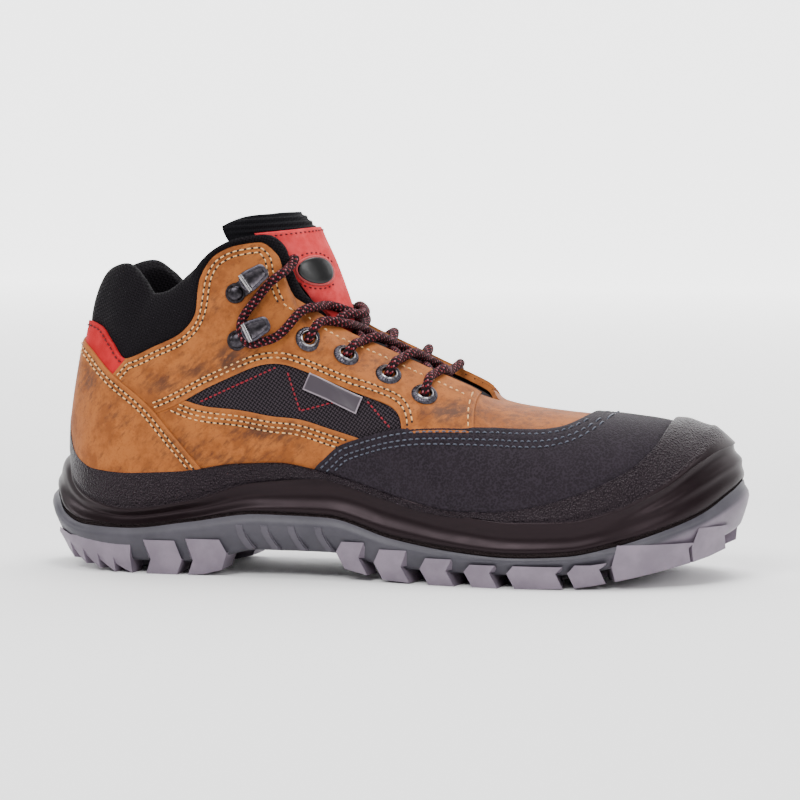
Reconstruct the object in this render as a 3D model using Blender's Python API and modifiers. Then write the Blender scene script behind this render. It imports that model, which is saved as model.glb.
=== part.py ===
"""A laced safety boot for the right foot. Its toe points along +X and its outer side faces -Y."""

import math
from collections import namedtuple

import bmesh
import bpy
import numpy as np

MM = 0.001

# Driving dimensions: the sole's length, its width at the ball, and the height to the tongue's top.
LENGTH = 308 * MM
BALL_WIDTH = 109 * MM
HEIGHT = 154 * MM

# Walls, gaps and steps that don't grow with the size.
GAP = 0.3 * MM
WALL = 2.0 * MM
OVERLAY = 1.5 * MM
RIM = 2.6 * MM
LUG_DEPTH = 5.5 * MM
INSOLE = 4.0 * MM

# The tables are drawn in millimetres on a last of this length, ball width and height.
DRAWN = (308, 109, 154)
SCALE_X, SCALE_Y, SCALE_Z = np.array((LENGTH, BALL_WIDTH, HEIGHT)) / MM / DRAWN

# Sole, a row for each station from heel to toe. lateral and medial are the plan outline on each side.
# inset is how far in the upper's lower edge stands. floor is what the upper stands on.
# grey is the top edge of the outsole's wall, band that of the gloss band, and band_in and belly are the insets
# of that edge and of the gloss band's middle. ground is how far the lugs' lower faces stand above the floor.
Station = namedtuple("Station", "x lateral medial inset floor grey band band_in belly ground")
SOLE = [
    Station(-154, 1, 1, 12.5, 24, 33, 49, 8.7, 4.4, 14),
    Station(-150, -13, 15, 11.8, 24, 29, 46, 8, 4.4, 11.5),
    Station(-143, -24, 25, 10.3, 24, 23.5, 38.5, 6, 4.4, 8),
    Station(-130, -34, 34, 8, 24, 20, 31.5, 4, 4.2, 3.2),
    Station(-110, -39, 38.5, 6.5, 24, 19.3, 27.5, 2.5, 3.8, 0),
    Station(-80, -40.5, 38, 6.8, 23.5, 22.5, 32, 2, 4, 0),
    Station(-50, -41, 36, 8, 22.5, 26.5, 40.5, 2.5, 4.3, 6),
    Station(-20, -43, 36, 8, 20.5, 26, 43, 3, 4.5, 6),
    Station(10, -47.5, 40, 6.8, 18, 18.5, 37, 2.5, 4, 0.9),
    Station(40, -52.5, 47, 5.5, 16.5, 14.3, 30, 2, 3.2, 0),
    Station(62, -54.5, 52, 6, 16, 13, 27.5, 1.5, 2.6, 0),
    Station(85, -53, 54.5, 6, 17, 14, 28, 1.5, 2.4, 0.5),
    Station(105, -48.5, 53, 6.5, 19.5, 18, 32.5, 1.8, 2.6, 3.5),
    Station(125, -39, 46.5, 7, 22.5, 24, 42, 3, 3, 8),
    Station(140, -26, 36, 7.5, 25, 30, 52, 5, 3.5, 12),
    Station(150, -10, 22, 7.5, 26, 37, 57, 6.5, 4, 17),
    Station(154, 5, 5, 7.5, 26.5, 41, 58, 7, 4.2, 22),
]

# Upper, a row for each rib from the heel's centre to the toe's. foot is the rib's x on the sole's outline.
# x, lateral, medial and z are its top end. lean tips it outward at the bottom, and rise is the length of
# that start over the rib's chord. heading and pitch aim it at the top, and reach is the length of that end.
Rib = namedtuple("Rib", "name foot x lateral medial z lean rise heading pitch reach")
RIBS = [
    Rib("heel", -154, -135, 1, 1, 106, 10, 0.33, -90, 79, 0.40),
    Rib("heel_side", -150, -131.5, -12, 14, 107, 10, 0.33, -66, 80, 0.40),
    Rib("tab", -143, -124, -20.5, 22, 105, 10, 0.33, -45, 82, 0.40),
    Rib("tab_front", -130, -117, -27.5, 29, 98.5, 10, 0.35, -28, 84, 0.38),
    Rib("dip", -113, -110, -32, 33.5, 92, 10, 0.38, -12, 86, 0.36),
    Rib("ankle", -92, -96, -35.5, 36.5, 97.5, 12, 0.38, -5, 88, 0.34),
    Rib("ankle_mid", -72, -83, -37.5, 38, 104, 13, 0.38, 0, 88, 0.34),
    Rib("step_foot", -55, -76.5, -38, 38.5, 113, 13, 0.38, 20, 87, 0.34),
    Rib("step_mid", -40, -74.5, -38, 38.5, 127, 12, 0.38, 30, 86, 0.36),
    Rib("step_top", -28, -70, -37, 38, 135.5, 11, 0.38, 40, 85, 0.36),
    Rib("stay_back", -18, -60, -35, 36.5, 140.8, 10, 0.38, 50, 84, 0.36),
    Rib("stay_top", -9, -51, -31.5, 34, 142, 9, 0.38, 56, 80, 0.36),
    Rib("stay_corner", -1, -45, -29, 31.5, 137, 8, 0.38, 58, 74, 0.36),
    Rib("stay_front", 6, -42.5, -27.5, 30, 128.5, 8, 0.38, 56, 66, 0.36),
    Rib("stay_bend", 13, -38.5, -26, 28.5, 119, 7, 0.38, 50, 55, 0.36),
    Rib("throat_top", 20, -31, -23.5, 26, 113.5, 6, 0.40, 42, 45, 0.36),
    Rib("throat_1", 29, -17, -20, 23, 104, 5, 0.42, 32, 38, 0.36),
    Rib("throat_2", 39, 1, -17.5, 20.5, 96, 4, 0.44, 25, 34, 0.36),
    Rib("throat_3", 49, 19, -16.5, 19.5, 88, 4, 0.46, 20, 30, 0.36),
    Rib("stay_end", 58, 39, -14, 17.5, 79, 3, 0.50, 12, 22, 0.36),
    Rib("throat_foot", 66, 47, 2.5, 2.5, 74, 3, 0.56, 5, 0, 0.40),
    Rib("vamp_1", 80, 62, 3, 3, 71.3, 3, 0.58, 5, 0, 0.42),
    Rib("vamp_2", 97, 80, 3, 3, 69.4, 3, 0.58, 10, 1, 0.42),
    Rib("vamp_3", 114, 94, 3.5, 3.5, 68.2, 3, 0.58, 22, 2, 0.42),
    Rib("toe_3", 129, 101, 4, 4, 67.5, 3, 0.58, 42, 4, 0.44),
    Rib("toe_2", 143, 104, 4.3, 4.3, 67.2, 3, 0.58, 66, 5, 0.46),
    Rib("toe", 154, 105, 4.5, 4.5, 67, 3, 0.58, 90, 6, 0.48),
]

# Collar, a row for each rib that carries it. x, lateral, medial and z are its crest, and pad its thickness.
Crest = namedtuple("Crest", "rib x lateral medial z pad")
COLLAR = [
    Crest("heel", -127.5, 1, 1, 126, 9),
    Crest("heel_side", -122.5, -13, 15, 131, 9),
    Crest("tab", -115, -20, 22, 133, 9),
    Crest("tab_front", -107, -25.5, 27.5, 128, 9),
    Crest("dip", -99, -29.5, 31.5, 120.5, 8),
    Crest("ankle", -92.5, -32.5, 33.5, 121.5, 7),
    Crest("ankle_mid", -86.5, -34, 35, 125, 7),
    Crest("step_foot", -82, -34.5, 35.5, 129, 7),
    Crest("step_mid", -77, -35, 36, 133.5, 6),
    Crest("step_top", -70, -34.5, 35.5, 138.8, 5),
    Crest("stay_back", -60, -32.5, 34.5, 144, 4.5),
    Crest("stay_top", -48.5, -27.5, 30.5, 146, 4),
    Crest("stay_corner", -41, -23, 26, 140.5, 4),
    Crest("stay_front", -38, -21, 24, 130, 4),
    Crest("stay_bend", -34, -20, 23, 121.5, 4),
    Crest("throat_top", -28, -19, 22, 115.5, 4),
]

# Edges seen from the side, as heights at each x, the same on both sides of the foot.
RIM_EDGE = [(-150, 67), (-141.5, 65), (-140, 60), (-136, 51), (-130, 46.5), (-124, 44.2), (-109, 43.2),
            (-97, 43.8), (-78, 45.3), (-60, 48), (-40, 48.8),
            (-23, 46), (-12, 43.4), (6, 38.2), (24, 33.4), (41, 31), (54, 31), (74, 34), (90, 39), (106, 46.5),
            (114, 52.5), (118.5, 58), (121, 63), (122.5, 68), (126, 90), (160, 120)]


def smooth_slopes(knots, values):
    """Slopes of a curve through the rows that never swings past a row."""
    step = np.diff(knots)[:, None]
    chord = np.diff(values, axis=0) / step
    before, after = chord[:-1], chord[1:]
    same_way = before * after > 0
    mean = 2 * before * after / np.where(same_way, before + after, 1)
    slopes = np.zeros_like(values)
    slopes[1:-1] = np.where(same_way, mean, 0)
    slopes[0], slopes[-1] = chord[0], chord[-1]
    return slopes


def even_slopes(knots, values):
    """Slopes of a curve through the rows whose bend changes evenly, for rows that repeat far past both ends."""
    step = np.diff(knots)
    chord = np.diff(values, axis=0) / step[:, None]
    count = len(knots)
    matrix = np.eye(count)
    right = np.vstack([chord[:1], np.zeros((count - 2, values.shape[1])), chord[-1:]])
    for i in range(1, count - 1):
        matrix[i, i - 1 : i + 2] = step[i], 2 * (step[i - 1] + step[i]), step[i - 1]
        right[i] = 3 * (step[i] * chord[i - 1] + step[i - 1] * chord[i])
    return np.linalg.solve(matrix, right)


def along(knots, values, slopes, at):
    """Points of the cubic through these values with these slopes."""
    i = np.clip(np.searchsorted(knots, at, "right") - 1, 0, len(knots) - 2)
    step = (knots[i + 1] - knots[i])[..., None]
    f = (at[..., None] - knots[i][..., None]) / step
    rise = values[i + 1] - values[i]
    first, last_ = slopes[i] * step, slopes[i + 1] * step
    return values[i] + f * (first + f * ((3 * rise - 2 * first - last_) + f * (first + last_ - 2 * rise)))


class Loop:
    """Table columns carried once round the boot: t is 0 at the heel, 1 at the toe and 2 at the heel again."""

    def __init__(self, places, lateral, medial, slopes):
        lateral, medial = np.asarray(lateral, float), np.asarray(medial, float)
        knots = np.concatenate([places, 2 - places[-2:0:-1]])
        values = np.vstack([lateral, medial[-2:0:-1]])
        self.knots = np.concatenate([knots - 2, knots, knots + 2])
        self.values = np.vstack([values] * 3)
        self.slopes = slopes(self.knots, self.values)

    def __call__(self, t):
        return along(self.knots, self.values, self.slopes, np.mod(np.asarray(t, float), 2))


def column(rows, name, scale=MM):
    return np.array([getattr(row, name) for row in rows], float) * scale


def heights(edge):
    """A height for every x, from rows of x and height."""
    rows = np.array(edge, float) * (SCALE_X * MM, SCALE_Z * MM)
    slopes = smooth_slopes(rows[:, 0], rows[:, 1:])
    return lambda x: along(rows[:, 0], rows[:, 1:], slopes, np.asarray(x, float))[..., 0]


# Plan outline of the sole. A station's place is how far along the foot it lies, from 0 to 1.
sole_x = column(SOLE, "x", MM * SCALE_X)
lateral_plan = np.column_stack([sole_x, column(SOLE, "lateral", MM * SCALE_Y)])
medial_plan = np.column_stack([sole_x, column(SOLE, "medial", MM * SCALE_Y)])
steps = sum(np.linalg.norm(np.diff(side, axis=0), axis=1) for side in (lateral_plan, medial_plan))
PLACES = np.concatenate([[0], np.cumsum(steps)]) / steps.sum()
plan = Loop(PLACES, lateral_plan, medial_plan, even_slopes)
wall_rows = np.column_stack([column(SOLE, name) for name in ("inset", "grey", "band", "band_in", "belly")])
wall = Loop(PLACES, wall_rows, wall_rows, smooth_slopes)
floor_at = heights([(row.x, row.floor) for row in SOLE])
ground_at = heights([(row.x, row.ground) for row in SOLE])
rim_at = heights(RIM_EDGE)


def outline(t, inset):
    """Points of the sole's plan outline, moved in by inset."""
    t = np.asarray(t, float)
    tangent = plan(t + 1e-4) - plan(t - 1e-4)
    outward = np.stack([tangent[..., 1], -tangent[..., 0]], -1)
    outward /= np.linalg.norm(outward, axis=-1, keepdims=True)
    return plan(t) - outward * np.asarray(inset, float)[..., None], outward


# Ribs of the upper, placed where each foot stands on the outline.
fine = np.linspace(0, 1, 2001)
RIB_PLACES = np.interp(column(RIBS, "foot", MM * SCALE_X), plan(fine)[:, 0], fine)
PLACE = {rib.name: place for rib, place in zip(RIBS, RIB_PLACES)}


def rib_rows(side):
    columns = [column(RIBS, "x", MM * SCALE_X), column(RIBS, side, MM * SCALE_Y), column(RIBS, "z", MM * SCALE_Z)]
    columns += [column(RIBS, name, math.pi / 180) for name in ("lean", "heading", "pitch")]
    columns += [column(RIBS, name, 1) for name in ("rise", "reach")]
    return np.column_stack(columns)


ribs = Loop(RIB_PLACES, rib_rows("lateral"), rib_rows("medial"), smooth_slopes)


def last(t, s):
    """Points of the upper's outer face: t round the foot, s from its lower edge, 0, to its top edge, 1."""
    t, s = np.broadcast_arrays(np.asarray(t, float), np.asarray(s, float))
    base_xy, outward = outline(t, wall(t)[..., 0])
    base = np.concatenate([base_xy, floor_at(base_xy[..., 0])[..., None]], -1)
    row = ribs(t)
    top = row[..., :3]
    lean, heading, pitch, rise, reach = np.moveaxis(row[..., 3:], -1, 0)
    side = np.where(np.mod(t, 2) < 1, 1.0, -1.0)
    aim = np.stack([-np.sin(heading) * np.cos(pitch), side * np.cos(heading) * np.cos(pitch), np.sin(pitch)], -1)
    start = np.concatenate([outward * np.sin(lean)[..., None], np.cos(lean)[..., None]], -1)
    chord = np.linalg.norm(top - base, axis=-1)
    low = base + start * (chord * rise)[..., None]
    high = top - aim * (chord * reach)[..., None]
    s = s[..., None]
    return base * (1 - s) ** 3 + 3 * low * s * (1 - s) ** 2 + 3 * high * s**2 * (1 - s) + top * s**3


def outward_of(t, s):
    """Unit normals of the upper's outer face."""
    t, s = np.broadcast_arrays(np.asarray(t, float), np.clip(s, 0, 0.995))
    d = 1e-4
    across = last(t + d, s) - last(t - d, s)
    up = last(t, np.minimum(s + d, 1)) - last(t, np.maximum(s - d, 0))
    normal = np.cross(across, up)
    return normal / np.linalg.norm(normal, axis=-1, keepdims=True)


def shell(t, s, out=0.0):
    """Points at a distance out from the upper's outer face, with its two sides meeting along the ridge."""
    t, s = np.broadcast_arrays(np.asarray(t, float), np.asarray(s, float))
    points = last(t, s) + outward_of(t, s) * np.asarray(out, float)[..., None]
    mirrored = last(2 - t, s) + outward_of(2 - t, s) * np.asarray(out, float)[..., None]
    place = np.minimum(np.mod(t, 2), 2 - np.mod(t, 2))
    on_ridge = (s > 1 - 1e-9) & (place >= PLACE["throat_foot"] - 1e-9)
    return np.where(on_ridge[..., None], (points + mirrored) / 2, points)


def level_at(t, height_at):
    """The s at which each rib first climbs past a height that depends on x."""
    low, high = np.zeros_like(t), np.ones_like(t)
    for _ in range(40):
        mid = (low + high) / 2
        point = last(t, mid)
        above = point[..., 2] > height_at(point[..., 0])
        low, high = np.where(above, low, mid), np.where(above, mid, high)
    return (low + high) / 2


# Columns round the foot, shared by every piece, so that facing walls keep parallel facets.
STEPS = (("heel", "dip", 5), ("dip", "step_foot", 4), ("step_foot", "stay_bend", 7), ("stay_bend", "stay_end", 4),
         ("stay_end", "throat_foot", 1), ("throat_foot", "vamp_2", 2), ("vamp_2", "toe", 6))
half = np.concatenate([np.linspace(PLACE[a], PLACE[b], n, endpoint=False) for a, b, n in STEPS] + [[1.0]])
COLUMNS = np.concatenate([half, 2 - half[-2:0:-1]])
# Levels up each rib, shared by the upper and by what is sewn on it.
LEVELS = np.array([0, 0.16, 0.34, 0.53, 0.72, 0.88, 1.0])


def clear_scene():
    for thing in list(bpy.data.objects):
        bpy.data.objects.remove(thing)


def group(name):
    made = bpy.data.collections.new(name)
    bpy.context.scene.collection.children.link(made)
    return made


def finish(name, colour, roughness, metallic=0.0):
    made = bpy.data.materials.new(name)
    made.use_nodes = True
    shader = made.node_tree.nodes["Principled BSDF"]
    shader.inputs["Base Color"].default_value = (*colour, 1)
    shader.inputs["Roughness"].default_value = roughness
    shader.inputs["Metallic"].default_value = metallic
    return made


clear_scene()
BOOT = group("safety_boot")
CUTTERS = group("cutters")

RUBBER = finish("grey_rubber", (0.25, 0.25, 0.29), 0.55)
POLYURETHANE = finish("black_polyurethane", (0.02, 0.02, 0.022), 0.4)
LEATHER = finish("tan_leather", (0.36, 0.17, 0.06), 0.75)
TEXTILE = finish("black_textile", (0.025, 0.025, 0.03), 0.9)
NUBUCK = finish("dark_nubuck", (0.03, 0.026, 0.034), 0.85)
SUEDE = finish("coral_suede", (0.62, 0.09, 0.08), 0.9)
METAL = finish("gunmetal", (0.12, 0.12, 0.13), 0.35, 0.9)
CORD = finish("lace", (0.12, 0.02, 0.03), 0.85)


def add_mesh(name, points, faces, material, collection=BOOT):
    """A mesh object from points and faces, with points that coincide joined."""
    mesh = bpy.data.meshes.new(name)
    mesh.from_pydata(np.asarray(points).reshape(-1, 3).tolist(), [], faces)
    work = bmesh.new()
    work.from_mesh(mesh)
    bmesh.ops.remove_doubles(work, verts=work.verts, dist=0.02 * MM)
    work.to_mesh(mesh)
    work.free()
    mesh.materials.append(material)
    made = bpy.data.objects.new(name, mesh)
    collection.objects.link(made)
    return made


def grid_faces(columns, levels, closed):
    """Quads of a grid whose points are listed column by column, with their front where t x s points."""
    faces = []
    for i in range(columns if closed else columns - 1):
        following = (i + 1) % columns
        for j in range(levels - 1):
            a, b = i * levels + j, following * levels + j
            faces.append((a, b, b + 1, a + 1))
    return faces


def split(faces, falling):
    """Each quad as two triangles. A falling split runs down from each column to the next."""
    made = []
    for a, b, c, d in faces:
        made += [(a, b, d), (b, c, d)] if falling else [(a, b, c), (a, c, d)]
    return made


def across_faces(count, levels, level, up):
    """Strips from the outer to the inner side that close one level of a stack of rings."""
    faces = []
    for i in range(count // 2):
        a, b = i, i + 1
        c, d = (count - b) % count, (count - a) % count
        ring = [k * levels + level for k in dict.fromkeys((a, b, c, d))]
        faces.append(tuple(ring if up else reversed(ring)))
    return faces


def stack(name, rings, material, falling=False):
    """A closed solid from rings round the foot, listed up its outside and ending on its inside."""
    points = np.stack(rings, axis=1)
    count, levels = points.shape[:2]
    faces = split(grid_faces(count, levels, closed=True), falling)
    faces += across_faces(count, levels, 0, up=False) + across_faces(count, levels, levels - 1, up=True)
    return add_mesh(name, points, faces, material)


def slab(name, outer, inner, material):
    """A closed solid between two grids of the same size, the outer one facing out."""
    columns, levels = outer.shape[:2]
    count = columns * levels
    faces = split(grid_faces(columns, levels, closed=False), falling=False)
    faces += [tuple(count + k for k in reversed(face)) for face in faces]
    border = [i * levels for i in range(columns)]
    border += [(columns - 1) * levels + j for j in range(1, levels)]
    border += [i * levels + levels - 1 for i in reversed(range(columns - 1))]
    border += list(reversed(range(1, levels - 1)))
    for a, b in zip(border, border[1:] + border[:1]):
        faces.append((b, a, count + a, count + b))
    return add_mesh(name, np.stack([outer, inner]), faces, material)


def ring(inset, height):
    """A ring of the outline, moved in, at a height for each column or for each x."""
    xy, _ = outline(COLUMNS, np.broadcast_to(inset, COLUMNS.shape))
    z = height(xy[:, 0]) if callable(height) else np.broadcast_to(height, COLUMNS.shape)
    return np.column_stack([xy, z])


_, GREY, BAND, BAND_IN, BELLY = wall(COLUMNS).T
BED_INSET = 5.5 * MM
LIP_IN = 1.2 * MM + 0.2 * BAND_IN


def underside_at(x):
    return ground_at(x) + LUG_DEPTH


def bed_at(x):
    """Height of the joint between outsole and midsole, under the foot."""
    return underside_at(x) + 0.45 * (floor_at(x) - underside_at(x))


# Lugs along each edge, a row for each: its ends along the foot, how far in it reaches, the height of its top,
# and how far its middle points forward.
Lug = namedtuple("Lug", "start end reach top point")
EDGE_LUGS = [
    Lug(-146, -139.6, 12, 15.5, 2), Lug(-138.3, -131.8, 14, 14.5, 2), Lug(-130.6, -124, 16, 14, 2),
    Lug(-122.8, -116.3, 17, 14, 2), Lug(-115, -107, 18, 14.5, 2), Lug(-100.5, -86.5, 19, 15, 3),
    Lug(-81.5, -66.5, 19, 16, 3), Lug(-12, -2, 15, 17, -3), Lug(5, 17, 19, 14.5, -3), Lug(25.5, 37, 21, 11.8, -3),
    Lug(45, 56, 22, 10, -3), Lug(63.5, 84, 22, 10, -3), Lug(89, 102, 21, 10.8, -3), Lug(106, 134, 20, 15, -2),
    Lug(138, 149, 9, 20, -2),
]
# Chevrons down the middle of the tread: the x of the point, the half width and the length along the foot.
Chevron = namedtuple("Chevron", "x half length")
CHEVRONS = [
    Chevron(-119, 12, 9), Chevron(-100, 14, 11), Chevron(-80, 13, 11), Chevron(12, 16, 10), Chevron(29, 20, 10),
    Chevron(47, 24, 10), Chevron(66, 25, 11), Chevron(86, 25, 11), Chevron(106, 21, 11), Chevron(124, 15, 9),
]
ARCH_RIBS = (-60, -49, -37, -25)
LUG_FOOT_IN = 3.4 * MM


def place_of(x):
    """The place along the foot of an x on the outline."""
    return np.interp(x, plan(fine)[:, 0], fine)


def edge_block(start, end, side, levels):
    """A block along the outline. A level of it has a shift, and an inset and height on each side."""
    cuts = np.linspace(start, end, 3 if end - start > 18 * MM else 2)
    rings = []
    for shift, *sides in levels:
        t = place_of(cuts + shift)
        t = t if side == "lateral" else 2 - t[::-1]
        ring_points = []
        for inset, height_at in sides:
            xy, _ = outline(t, np.full(len(t), inset))
            ring_points.append(np.column_stack([xy, height_at(xy[:, 0])]))
        rings.append(np.vstack([ring_points[0], ring_points[1][::-1]]))
    points = np.stack(rings, axis=1)
    count, tall = points.shape[:2]
    walls = grid_faces(count, tall, closed=True)
    first_end = walls[1 - tall :]
    faces = walls[: 1 - tall]
    for i in range(len(cuts) - 1):
        quad = [k * tall for k in (i, i + 1, count - 2 - i, count - 1 - i)]
        faces += [tuple(reversed(quad)), tuple(k + tall - 1 for k in quad)]
    return points.reshape(-1, 3), split(faces, falling=False) + split(first_end, falling=True)


def edge_lug(lug, side):
    """A lug with its outer face bent forward or back halfway up."""
    start, end = lug.start * MM * SCALE_X, lug.end * MM * SCALE_X
    reach, top = lug.reach * MM, lug.top * MM
    rooted_at = lambda x: underside_at(x) + 1.2 * MM
    top_at = lambda x: np.maximum(top, (underside_at(x) + bed_at(x)) / 2 + 1.0 * MM)
    return edge_block(start, end, side, [
        (0, (LUG_FOOT_IN, ground_at), (reach, ground_at)),
        (lug.point * MM, (1.2 * MM, rooted_at), (reach, rooted_at)),
        (0, (0.0, top_at), (5.0 * MM, lambda x: underside_at(x) + 1.6 * MM)),
    ])


def arch_rib(x, side):
    """A slanted rib on the wall beside the arch."""
    start = x * MM * SCALE_X
    lean, wide = 4 * MM, 3.2 * MM
    foot_at = lambda x: underside_at(x) + 0.6 * MM
    top_at = lambda x: np.full_like(x, 22.5 * MM)
    return edge_block(start, start + wide, side, [
        (0, (2.0 * MM, foot_at), (5.0 * MM, foot_at)),
        (lean, (0.0, top_at), (2.4 * MM, top_at)),
    ])


def chevron(row):
    """A bar across the tread, bent forward at its middle."""
    x, half_width, length = (value * MM for value in (row.x * SCALE_X, row.half * SCALE_Y, row.length))
    bend = 0.35 * half_width
    middle = 2 * MM
    rows = ((-half_width, -bend), (0.0, 0.0), (half_width, -bend))
    xy = [(x + back, middle + y) for y, back in rows]
    xy = xy[::-1] + [(ahead - length, y) for ahead, y in xy]
    xy = np.array(xy)[::-1]
    low = np.column_stack([xy, ground_at(xy[:, 0])])
    high = np.column_stack([xy, underside_at(xy[:, 0]) + 1.0 * MM])
    points = np.stack([low, high], axis=1)
    faces = grid_faces(len(xy), 2, closed=True)
    left, right = [0, 1, 4, 5], [1, 2, 3, 4]
    for quad in (left, right):
        faces.append(tuple(k * 2 for k in reversed(quad)))
        faces.append(tuple(k * 2 + 1 for k in quad))
    return points.reshape(-1, 3), faces


def make_outsole():
    """Rubber outsole: a tray whose wall climbs the sides, joined with its lugs."""
    foot = ring(6 * MM, underside_at)
    knee = ring(3.2 * MM, lambda x: underside_at(x) + 2.0 * MM)
    belly = ring(0.4 * MM, GREY - 0.35 * (GREY - knee[:, 2]))
    lip = ring(LIP_IN, GREY)
    bed = ring(BED_INSET, bed_at)
    tray = stack("outsole", [foot, knee, belly, lip, bed], RUBBER)
    blocks = [edge_lug(lug, side) for side in ("lateral", "medial") for lug in EDGE_LUGS]
    blocks += [arch_rib(x, side) for side in ("lateral", "medial") for x in ARCH_RIBS]
    blocks += [chevron(row) for row in CHEVRONS]
    points, faces = [], []
    for block_points, block_faces in blocks:
        start = sum(len(part) for part in points)
        faces += [tuple(start + k for k in face) for face in block_faces]
        points.append(block_points)
    lugs = add_mesh("lugs", np.vstack(points), faces, RUBBER, CUTTERS)
    lugs.hide_render = True
    lugs.display_type = "WIRE"
    join = tray.modifiers.new("lugs", "BOOLEAN")
    join.operation = "UNION"
    join.object = lugs
    join.use_self = True
    flat = tray.modifiers.new("flat_faces", "DECIMATE")
    flat.decimate_type = "DISSOLVE"
    flat.angle_limit = math.radians(0.5)
    return tray


def upper_inset(height):
    """How far inside the sole's outline the upper stands, at a height for each column."""
    side = last(COLUMNS, level_at(COLUMNS, lambda x: height))[:, :2]
    edge, outward = outline(COLUMNS, np.zeros_like(COLUMNS))
    return ((edge - side) * outward).sum(axis=1)


def make_midsole():
    """Polyurethane midsole: a tray that takes the upper, with a gloss band round it and a cap over the toe."""
    rim_level = level_at(COLUMNS, rim_at)
    under = ring(BED_INSET + GAP, lambda x: bed_at(x) + GAP)
    lip = ring(LIP_IN + GAP, GREY + GAP)
    tall = BAND - GREY
    swell = ring(LIP_IN + 0.1 * MM, GREY + 0.16 * tall)
    hollow = ring(np.minimum(BELLY, upper_inset(GREY + 0.6 * tall) - WALL), GREY + 0.6 * tall)
    edge = ring(BAND_IN, BAND)
    band_level = np.minimum(level_at(COLUMNS, lambda x: BAND), rim_level - 0.02)
    stands = np.linalg.norm(edge - last(COLUMNS, band_level), axis=1)
    sides = []
    for part in (0.45, 1.0):
        level = band_level + (rim_level - band_level) * part
        sides.append(shell(COLUMNS, level, stands + (RIM - stands) * part**0.8))
    room = np.interp(rim_level, [0.3, 0.5], [GAP, 5 * GAP])
    inner = [shell(COLUMNS, rim_level * part, room) for part in (1.0, 0.76, 0.5, 0.25)]
    sole = shell(COLUMNS, np.zeros_like(COLUMNS), GAP)
    sole[:, 2] = floor_at(sole[:, 0]) - GAP
    return stack("midsole", [under, lip, swell, hollow, edge, *sides, *inner, sole], POLYURETHANE, True)


def make_upper():
    """The upper as one hollow shell of leather, open at the collar, along the throat and underneath."""
    points = shell(COLUMNS[:, None], LEVELS[None, :])
    made = add_mesh("upper", points, grid_faces(*points.shape[:2], closed=True), LEATHER)
    thicken = made.modifiers.new("wall", "SOLIDIFY")
    thicken.thickness = WALL
    thicken.offset = -1
    return made


def make_insole():
    """Insole on the midsole's floor, inside the upper."""
    inside = WALL + 2 * GAP
    base = shell(COLUMNS, np.zeros_like(COLUMNS), -inside)
    base[:, 2] = floor_at(base[:, 0])
    raised = base.copy()
    raised[:, 2] += INSOLE
    return stack("insole", [base, raised], TEXTILE)


# Lower tongue, a row for each rib that it crosses: how far it lies under the upper's outer face,
# the rib's level where its edge lies, how far it bows up between the eyestays, and its thickness.
Span = namedtuple("Span", "rib depth under bow thick")
TONGUE_LOW = [
    Span("throat_foot", 3.6, 0.80, 0, 3),
    Span("stay_end", 3.2, 0.80, 0.35, 3.5),
    Span("throat_3", 2.7, 0.80, 0.35, 4),
    Span("throat_2", 2.7, 0.82, 0.38, 4.5),
    Span("throat_1", 3.2, 0.85, 0.42, 5),
    Span("throat_top", 8.8, 0.96, 0.5, 6),
]
# Upper tongue, a row for each section: its foremost point, half width, how far back and down its edges lie.
Arch = namedtuple("Arch", "x z half back fall thick")
TONGUE_HIGH = [
    Arch(-20, 121.5, 17.5, 25, 3, 7),
    Arch(-25, 132, 20, 31, 3, 8),
    Arch(-29.5, 142, 22, 35, 3, 9),
    Arch(-32.5, 149, 23, 36, 3.5, 9),
    Arch(-35, 154, 21, 32, 4.5, 6),
]
TONGUE_POINTS = 11
MIDDLE = 1.5 * MM * SCALE_Y


def tongue_span(span):
    """Points across the tongue, from under the lateral eyestay over the throat to under the medial one."""
    place, depth = PLACE[span.rib], span.depth * MM
    levels = np.linspace(span.under, 1, 9)
    lateral = shell(np.full(9, place), levels, -depth)
    medial = shell(np.full(9, 2 - place), levels, -depth)
    width = medial[-1] - lateral[-1]
    path = [lateral]
    if span.bow:
        bows = []
        for t, way in ((place, width), (2 - place, -width)):
            normal = outward_of(t, 1.0)
            bows.append((way - normal * (way @ normal)) * span.bow)
        f = np.linspace(0, 1, 13)[1:-1, None]
        first, second = lateral[-1] + bows[0], medial[-1] + bows[1]
        path.append(lateral[-1] * (1 - f) ** 3 + 3 * first * f * (1 - f) ** 2
                    + 3 * second * f**2 * (1 - f) + medial[-1] * f**3)
    path = np.vstack(path + [medial[::-1]])
    travelled = np.concatenate([[0], np.cumsum(np.linalg.norm(np.diff(path, axis=0), axis=1))])
    even = np.linspace(0, travelled[-1], TONGUE_POINTS)
    return np.column_stack([np.interp(even, travelled, path[:, k]) for k in range(3)])


def tongue_arch(arch):
    """Points across the tongue where it stands up inside the collar."""
    angle = np.linspace(-0.5 * math.pi, 0.5 * math.pi, TONGUE_POINTS)
    x = arch.x * SCALE_X * MM - arch.back * MM * (1 - np.cos(angle))
    z = arch.z * SCALE_Z * MM - arch.fall * MM * (1 - np.cos(angle))
    return np.column_stack([x, MIDDLE + arch.half * SCALE_Y * MM * np.sin(angle), z])


# Outer face of the tongue, section by section from the toe up, and from the medial edge to the lateral one.
sections = [tongue_span(span) for span in TONGUE_LOW] + [tongue_arch(arch) for arch in TONGUE_HIGH]
tongue_outer = np.stack(sections)[:, ::-1]


def grid_normals(points):
    """Unit normals of a grid, pointing where its first direction crossed with its second points."""
    normal = np.cross(np.gradient(points, axis=0), np.gradient(points, axis=1))
    return normal / np.linalg.norm(normal, axis=-1, keepdims=True)


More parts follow.
